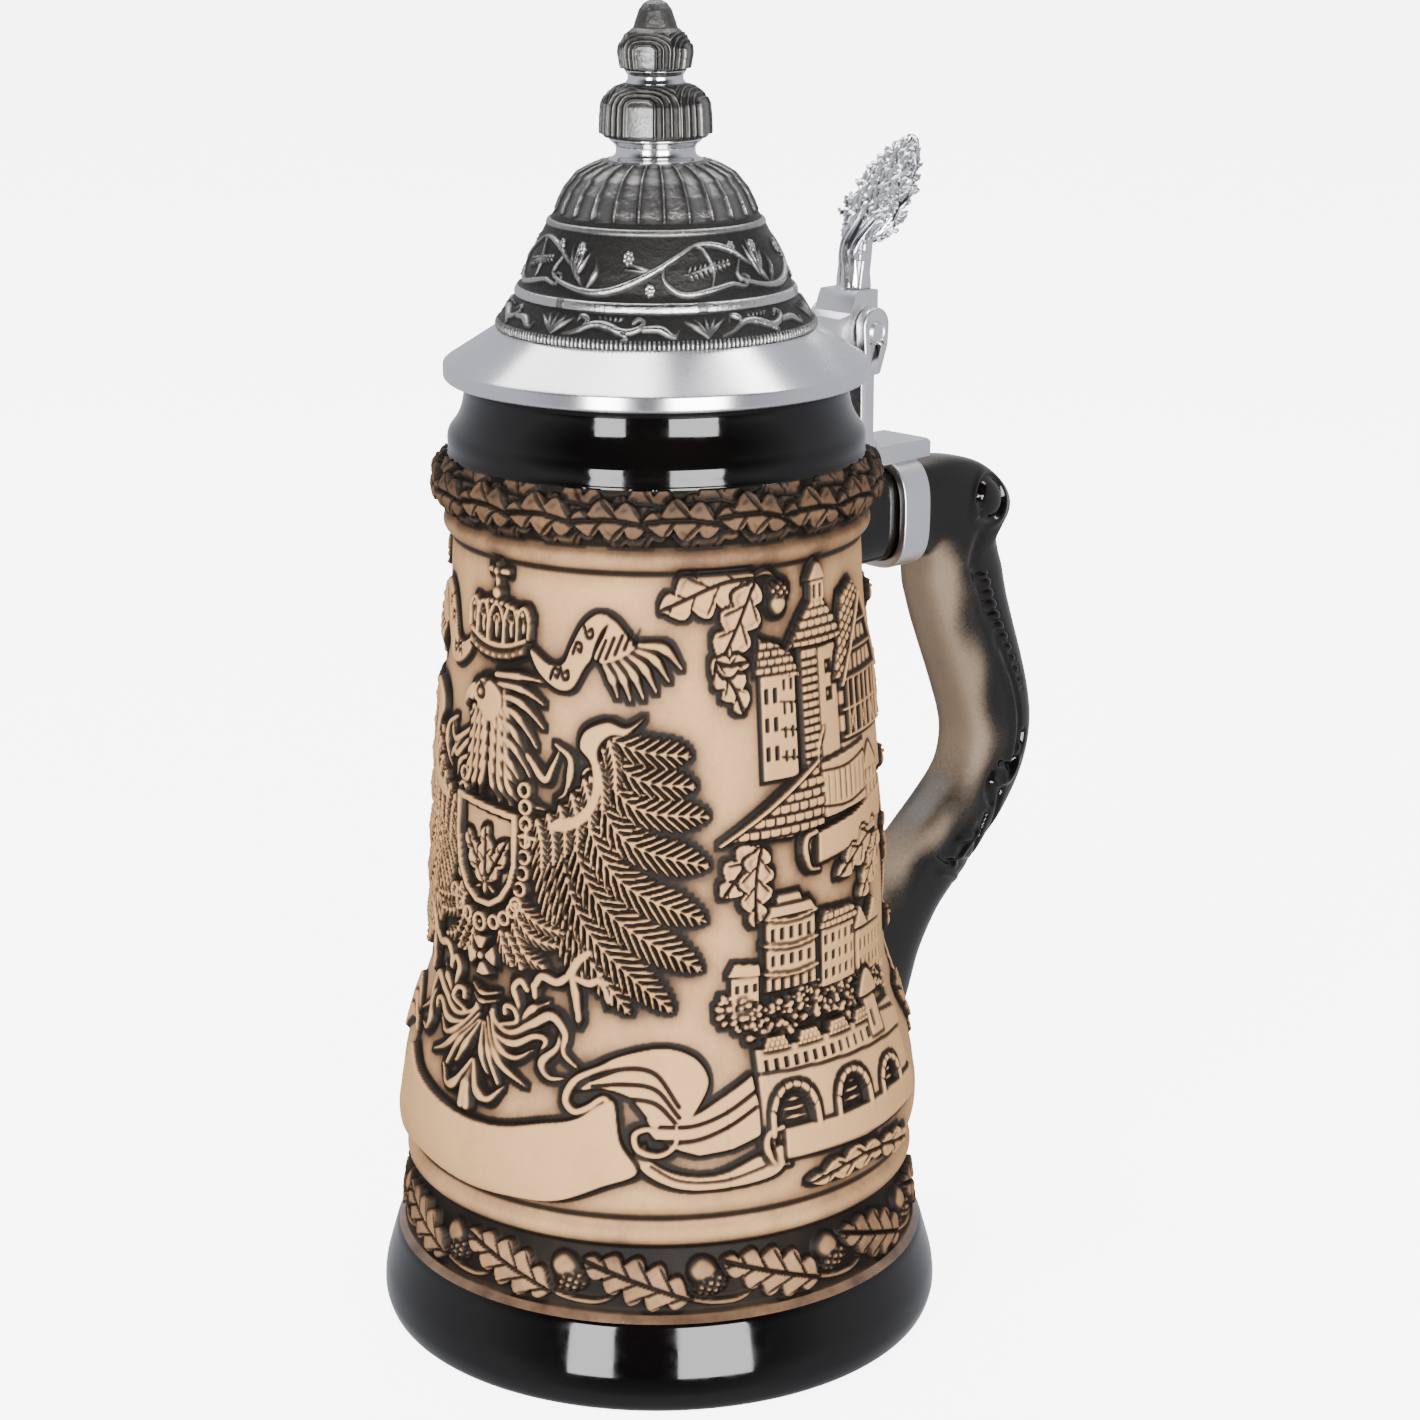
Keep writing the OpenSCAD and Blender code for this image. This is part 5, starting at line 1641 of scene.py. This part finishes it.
def make_crown_leaves(crown, paint):
    """Small cast leaves on both faces of the crown, held to the CAD solid's width and to the crown's length.
    """
    low, high = box_mm("thumb_lift")
    rng = np.random.default_rng(23)
    co, faces = join_parts([crown_leaf(crown, face, rng) for face in (1, -1) for _ in range(150)])
    past_tip = np.clip((co - crown.start) @ crown.up - CROWN_L, 0, None)
    co = co - past_tip[:, None] * crown.up
    co[:, 1] = np.clip(co[:, 1], low[1] - 0.2, high[1] + 0.2)
    foliage = add_mesh("thumb_lift_leaves", co, faces, paint)
    finish_piece(foliage, "lid", "pewter_satin")


def make_thumb_lift(satin, bright):
    """Thumb lift: a flared stem, a barked trunk and a leafy crown of small cast leaves."""
    crown = Crown()
    make_lift_stem(crown, satin)
    make_lift_trunk(crown, bright)
    make_crown_core(crown, bright)
    make_crown_leaves(crown, bright)


# ---------------------------------------------------------------- lid and finial

INSIDE_POLISH = 0.72


def draw_bead_row(r, z0):
    """The milled row round the dome's foot."""
    beads = 216
    for k in range(-1, beads + 1):
        az = -360 + k * 360 / beads
        r.ridge([(az, z0 + 0.15), (az, z0 + 1.35)], 0.37, 0.42, tips=(0.9, 0.9), smooth=False)


def draw_lower_band(r, z0):
    """Tufts and tendrils, six times round."""
    for k in range(7):
        base = -372 + 60 * k
        for lean in (-2, -1, 0, 1, 2):
            r.ridge([(base + 16.5, z0 + 1.9), (base + 16.5 + lean * 2.2, z0 + 3.6),
                     (base + 16.5 + lean * 4, z0 + 5.1 - 0.25 * abs(lean))], 0.55, 0.45, tips=(0.5, 0.35))
        r.ridge([(base + 22, z0 + 2), (base + 27, z0 + 2.6), (base + 33, z0 + 3.9), (base + 39, z0 + 3.8),
                 (base + 45, z0 + 2.9), (base + 50, z0 + 3.2), (base + 53, z0 + 4.3),
                 (base + 51, z0 + 5), (base + 49, z0 + 4.4)], 0.95, 0.6, tips=(0.3, 0.5))
        r.ridge([(base + 30, z0 + 3.4), (base + 31, z0 + 4.6), (base + 27.5, z0 + 5.1),
                 (base + 26.5, z0 + 4.3)], 0.75, 0.5, tips=(0.8, 0.4))
        r.ridge([(base + 43, z0 + 3.2), (base + 47, z0 + 2), (base + 45, z0 + 1.7)], 0.7, 0.5,
                tips=(0.9, 0.3))
        r.ridge([(base + 53, z0 + 3.4), (base + 59, z0 + 3.4), (base + 64, z0 + 2.2), (base + 66, z0 + 3.1)],
                0.9, 0.55, tips=(0.8, 0.3))
        for lean in (-2, -1, 0, 1, 2):
            r.ridge([(base + 40 + lean * 1.5, z0 + 4.5), (base + 40 + lean * 2.6, z0 + 5.3)], 0.35, 0.35)


def draw_vine_band(r, v0):
    """A vine with tendrils, leaves and flowers, four times round."""
    for k in range(5):
        base = -396 + 90 * k
        r.ridge([(base - 57, v0 + 6.5), (base - 60, v0 + 4), (base - 55, v0 + 2.6), (base - 40, v0 + 1.3),
                 (base - 27, v0 + 1.8), (base - 12, v0 + 4.4), (base - 2, v0 + 6.6), (base + 8, v0 + 8.7)],
                0.95, 0.65, tips=(0.5, 0.6))
        r.ridge([(base - 5, v0 + 5.9), (base - 5, v0 + 3.6), (base, v0 + 1.6), (base + 6, v0 + 1.1),
                 (base + 15, v0 + 1.6), (base + 26, v0 + 2.4), (base + 33, v0 + 1.9), (base + 36, v0 + 3.2),
                 (base + 33, v0 + 3.8), (base + 31, v0 + 2.8)], 0.8, 0.6, tips=(0.7, 0.4))
        r.ridge([(base + 8, v0 + 8.7), (base + 12, v0 + 9.2), (base + 20, v0 + 9.1), (base + 30, v0 + 7.9),
                 (base + 38, v0 + 5.8), (base + 44, v0 + 4.8)], 0.75, 0.55, tips=(0.6, 0.4))
        r.ridge([(base + 16, v0 + 2), (base + 18, v0 + 5), (base + 15, v0 + 8.2), (base + 12, v0 + 9)],
                0.65, 0.5, tips=(0.6, 0.6))
        for step in range(9):
            az, z = base + 6 + 2.4 * step, v0 + 4.6 + 0.18 * step
            r.ridge([(az, z), (az + 1.8, z + 1.3 - 0.08 * step)], 0.45, 0.42)
            r.ridge([(az, z), (az + 2.2, z - 1.1 + 0.06 * step)], 0.45, 0.42)
        r.ridge([(base + 4, v0 + 4.4), (base + 28, v0 + 6.2)], 0.5, 0.45)
        for d, up, size in ((-21, 7.1, 1.5), (-11, 1.9, 1.2), (30, 8.4, 1.1), (-46, 8.2, 1.2)):
            az, z = base + d, v0 + up
            for a in FULL_TURN * np.arange(7) / 7:
                r.ball(az + size * 1.3 * math.cos(a), z + size * 0.6 * math.sin(a), 0.42, 0.42, 0.55)
            r.ball(az, z, 0.5, 0.5, 0.6)
        r.ridge([(base - 21, v0 + 6.4), (base - 14, v0 + 5.4), (base - 8, v0 + 5.2)], 0.5, 0.45)
        r.ridge([(base - 22, v0 + 5.4), (base - 14, v0 + 5.0), (base - 8, v0 + 5.2)], 0.45, 0.4)
        for lean, top in ((-6, 8.6), (-2.5, 9.3), (1.5, 8.8), (5, 7.6)):
            r.ridge([(base - 46, v0 + 3.2), (base - 46 + lean * 0.6, v0 + 6), (base - 46 + lean, v0 + top)],
                    0.65, 0.5, tips=(0.35, 0.3))
        for lean in (-5, 5):
            r.ridge([(base - 40, v0 + 1.4), (base - 41 + lean, v0 + 4.6), (base - 40 + lean * 0.6, v0 + 6.8)],
                    0.85, 0.5, tips=(0.3, 0.2))


def make_dome(paint):
    """The cast relief dome: bead row, lower band, polished ring, vine band and polished top edge."""
    low, high = box_mm("lid_dome")
    z0 = low[2]
    step = 0.13
    r = Relief(z0, high[2], 0.44, step, weight=1.35)
    draw_bead_row(r, z0)
    draw_lower_band(r, z0)
    draw_vine_band(r, z0 + 7.7)
    line = smooth_outline(cad_outline("lid_dome"), step, 0.2)
    z = line[:, 1]
    outside = (np.arange(len(line)) < np.argmax(z))[:, None]
    ring = np.exp(-((z - z0 - 6.7) / 0.85) ** 8)[:, None]
    rim = smooth01((z - high[2] + 0.95) / 0.3)[:, None]
    azimuths = turns(r.columns)
    bridge = (np.abs((np.degrees(azimuths) / 60 + 0.43) % 1 - 0.5) < 0.03)[None]
    lift = on_rows(r, r.h, z, outside[:, 0] & (z > z0 + 0.1)) * (1 - ring) * (1 - rim)
    lift += outside * (ring * np.where(bridge, 0.35, 0.25) + 0.2 * rim)
    polish = np.where((ring > 0.5) & ~bridge, 1.0, 0.85 * smooth01(lift / 0.5))
    polish = np.maximum(polish, 0.75 * rim)
    polish = np.where(z[:, None] < z0 + 1.5, 0.9 * smooth01((lift - 0.1) / 0.3), polish)
    polish = np.where(outside, polish, INSIDE_POLISH)
    points = turn_grid(line, outline_normals(line), azimuths, lift)
    dome = add_grid("lid_dome_relief", points, [paint], True, fields={"polish": polish})
    finish_piece(dome, "lid", "pewter_antique", "lid_dome")


def cap_flutes(line, azimuths):
    """Share of the cap's height, distance from each rib as a share, and which points are outside."""
    z = line[:, 1]
    share = (z - z.min()) / (z.max() - z.min())
    flutes = 25
    turn = (azimuths / FULL_TURN * flutes) % 1
    return share[:, None], 1 - np.abs(turn - 0.5) * 2, (np.arange(len(line)) <= np.argmax(z))[:, None]


def cap_rise(line, azimuths):
    """Flutes of the cap with a thin rib between each two."""
    share, off_rib, outside = cap_flutes(line, azimuths)
    where = outside * smooth01((share - 0.1) / 0.05) * smooth01((0.99 - share) / 0.04)
    return where * (0.42 * bell(off_rib, 0.13) - 0.35 * (1 - (1 - off_rib) ** 2))


def cap_polish(line, azimuths):
    share, off_rib, outside = cap_flutes(line, azimuths)
    polish = 0.9 * bell(off_rib, 0.1) + 0.66 * (1 - (1 - off_rib) ** 2)
    polish = np.clip(polish * smooth01((share - 0.12) / 0.05), 0, 1)
    return {"polish": np.where(outside, polish, INSIDE_POLISH)}


def knob_maker(half_angle, tall, rib_u, rib_v, height):
    """The relief and polish of a knob with nested arch ribs round four polished panels.

    half_angle and tall say how large a panel is, and rib_u and rib_v how far apart the ribs
    are round it and up it.
    """
    arches, corner = 4, 1.2

    def arch_field(line, azimuths):
        """Grows outwards from each panel, by 1 from rib to rib; and the length up the outline."""
        length = arc_length(line)
        up = length - length[np.argmax(line[:, 0] - 0.6 * line[:, 1])]
        radius = line[:, 0].max()
        turn = (np.degrees(azimuths) + 152 + 180 / arches) % (360 / arches) - 180 / arches
        half = math.radians(half_angle) * radius
        gap_u = np.clip(np.abs(np.radians(turn)) * radius - half + corner * rib_u, 0, None) / rib_u
        gap_v = np.clip(up - tall + corner * rib_v, 0, None) / rib_v
        return np.hypot(gap_u[None], gap_v[:, None]), up[:, None]

    def rib(field, width):
        wave = (field - corner) % 1
        return bell(np.minimum(wave, 1 - wave), width) * (field > 0.7)

    def rise(line, azimuths):
        field, up = arch_field(line, azimuths)
        body = smooth01((up + 0.2) / 0.4) * smooth01((height - up) / 0.8)
        return body * (0.5 * rib(field, 0.17) - 0.3 * (field > corner))

    def polish(line, azimuths):
        field, up = arch_field(line, azimuths)
        panel = 0.62 * smooth01((1.05 - field) / 0.2)
        body = within(up, (-0.3, height))
        return {"polish": np.clip(np.where(body, np.maximum(0.66 * rib(field, 0.1), panel), 0.4), 0, 1)}
    return rise, polish


def make_lid(satin_turned, polished, antique):
    """The turned and cast pieces of the lid, from its edge to the finial's tip."""
    columns = 512
    step = 0.14
    turned_piece("lid_cone", "lid_flange", "pewter_polished", satin_turned, step, columns, 0.16)
    make_dome(antique)
    turned_piece("lid_cap_fluted", "lid_cap", "pewter_antique", antique, step, columns * 2, 0.2,
                 cap_rise, cap_polish)
    turned_piece("finial_spool_low", "finial_neck_low", "pewter_polished", polished, step, 192, 0.25)
    turned_piece("finial_spool_top", "finial_neck_top", "pewter_polished", polished, step, 192, 0.2)
    turned_piece("finial_knob_lower", "finial_knob_low", "pewter_antique", antique, step, columns * 2,
                 0.15, *knob_maker(17, 6.7, 1.5, 1.1, 10.6))
    turned_piece("finial_knob_upper", "finial_knob_top", "pewter_antique", antique, step, columns * 2,
                 0.15, *knob_maker(19, 4.4, 1.25, 0.8, 7.0))


def main():
    make_camera()
    make_lights()
    make_room()
    make_floor()
    make_vessel(stoneware_paint(), black_glaze_paint(), inner_glaze_paint(), lip_glaze_paint())
    make_handle(handle_paint())
    satin = satin_pewter_paint()
    make_band(satin)
    for name, width in (("shank", 0.5), ("hinge_block", 0.35), ("hinge_pin", 0.2), ("finial_screw", 0.2)):
        soften_node(name, satin, width)
    make_thumb_lift(satin, satin_pewter_paint("bright_cast_pewter", 0.17))
    make_lid(satin_pewter_paint("turned_pewter", 0.28, True), polished_pewter_paint(), antique_pewter_paint())


main()
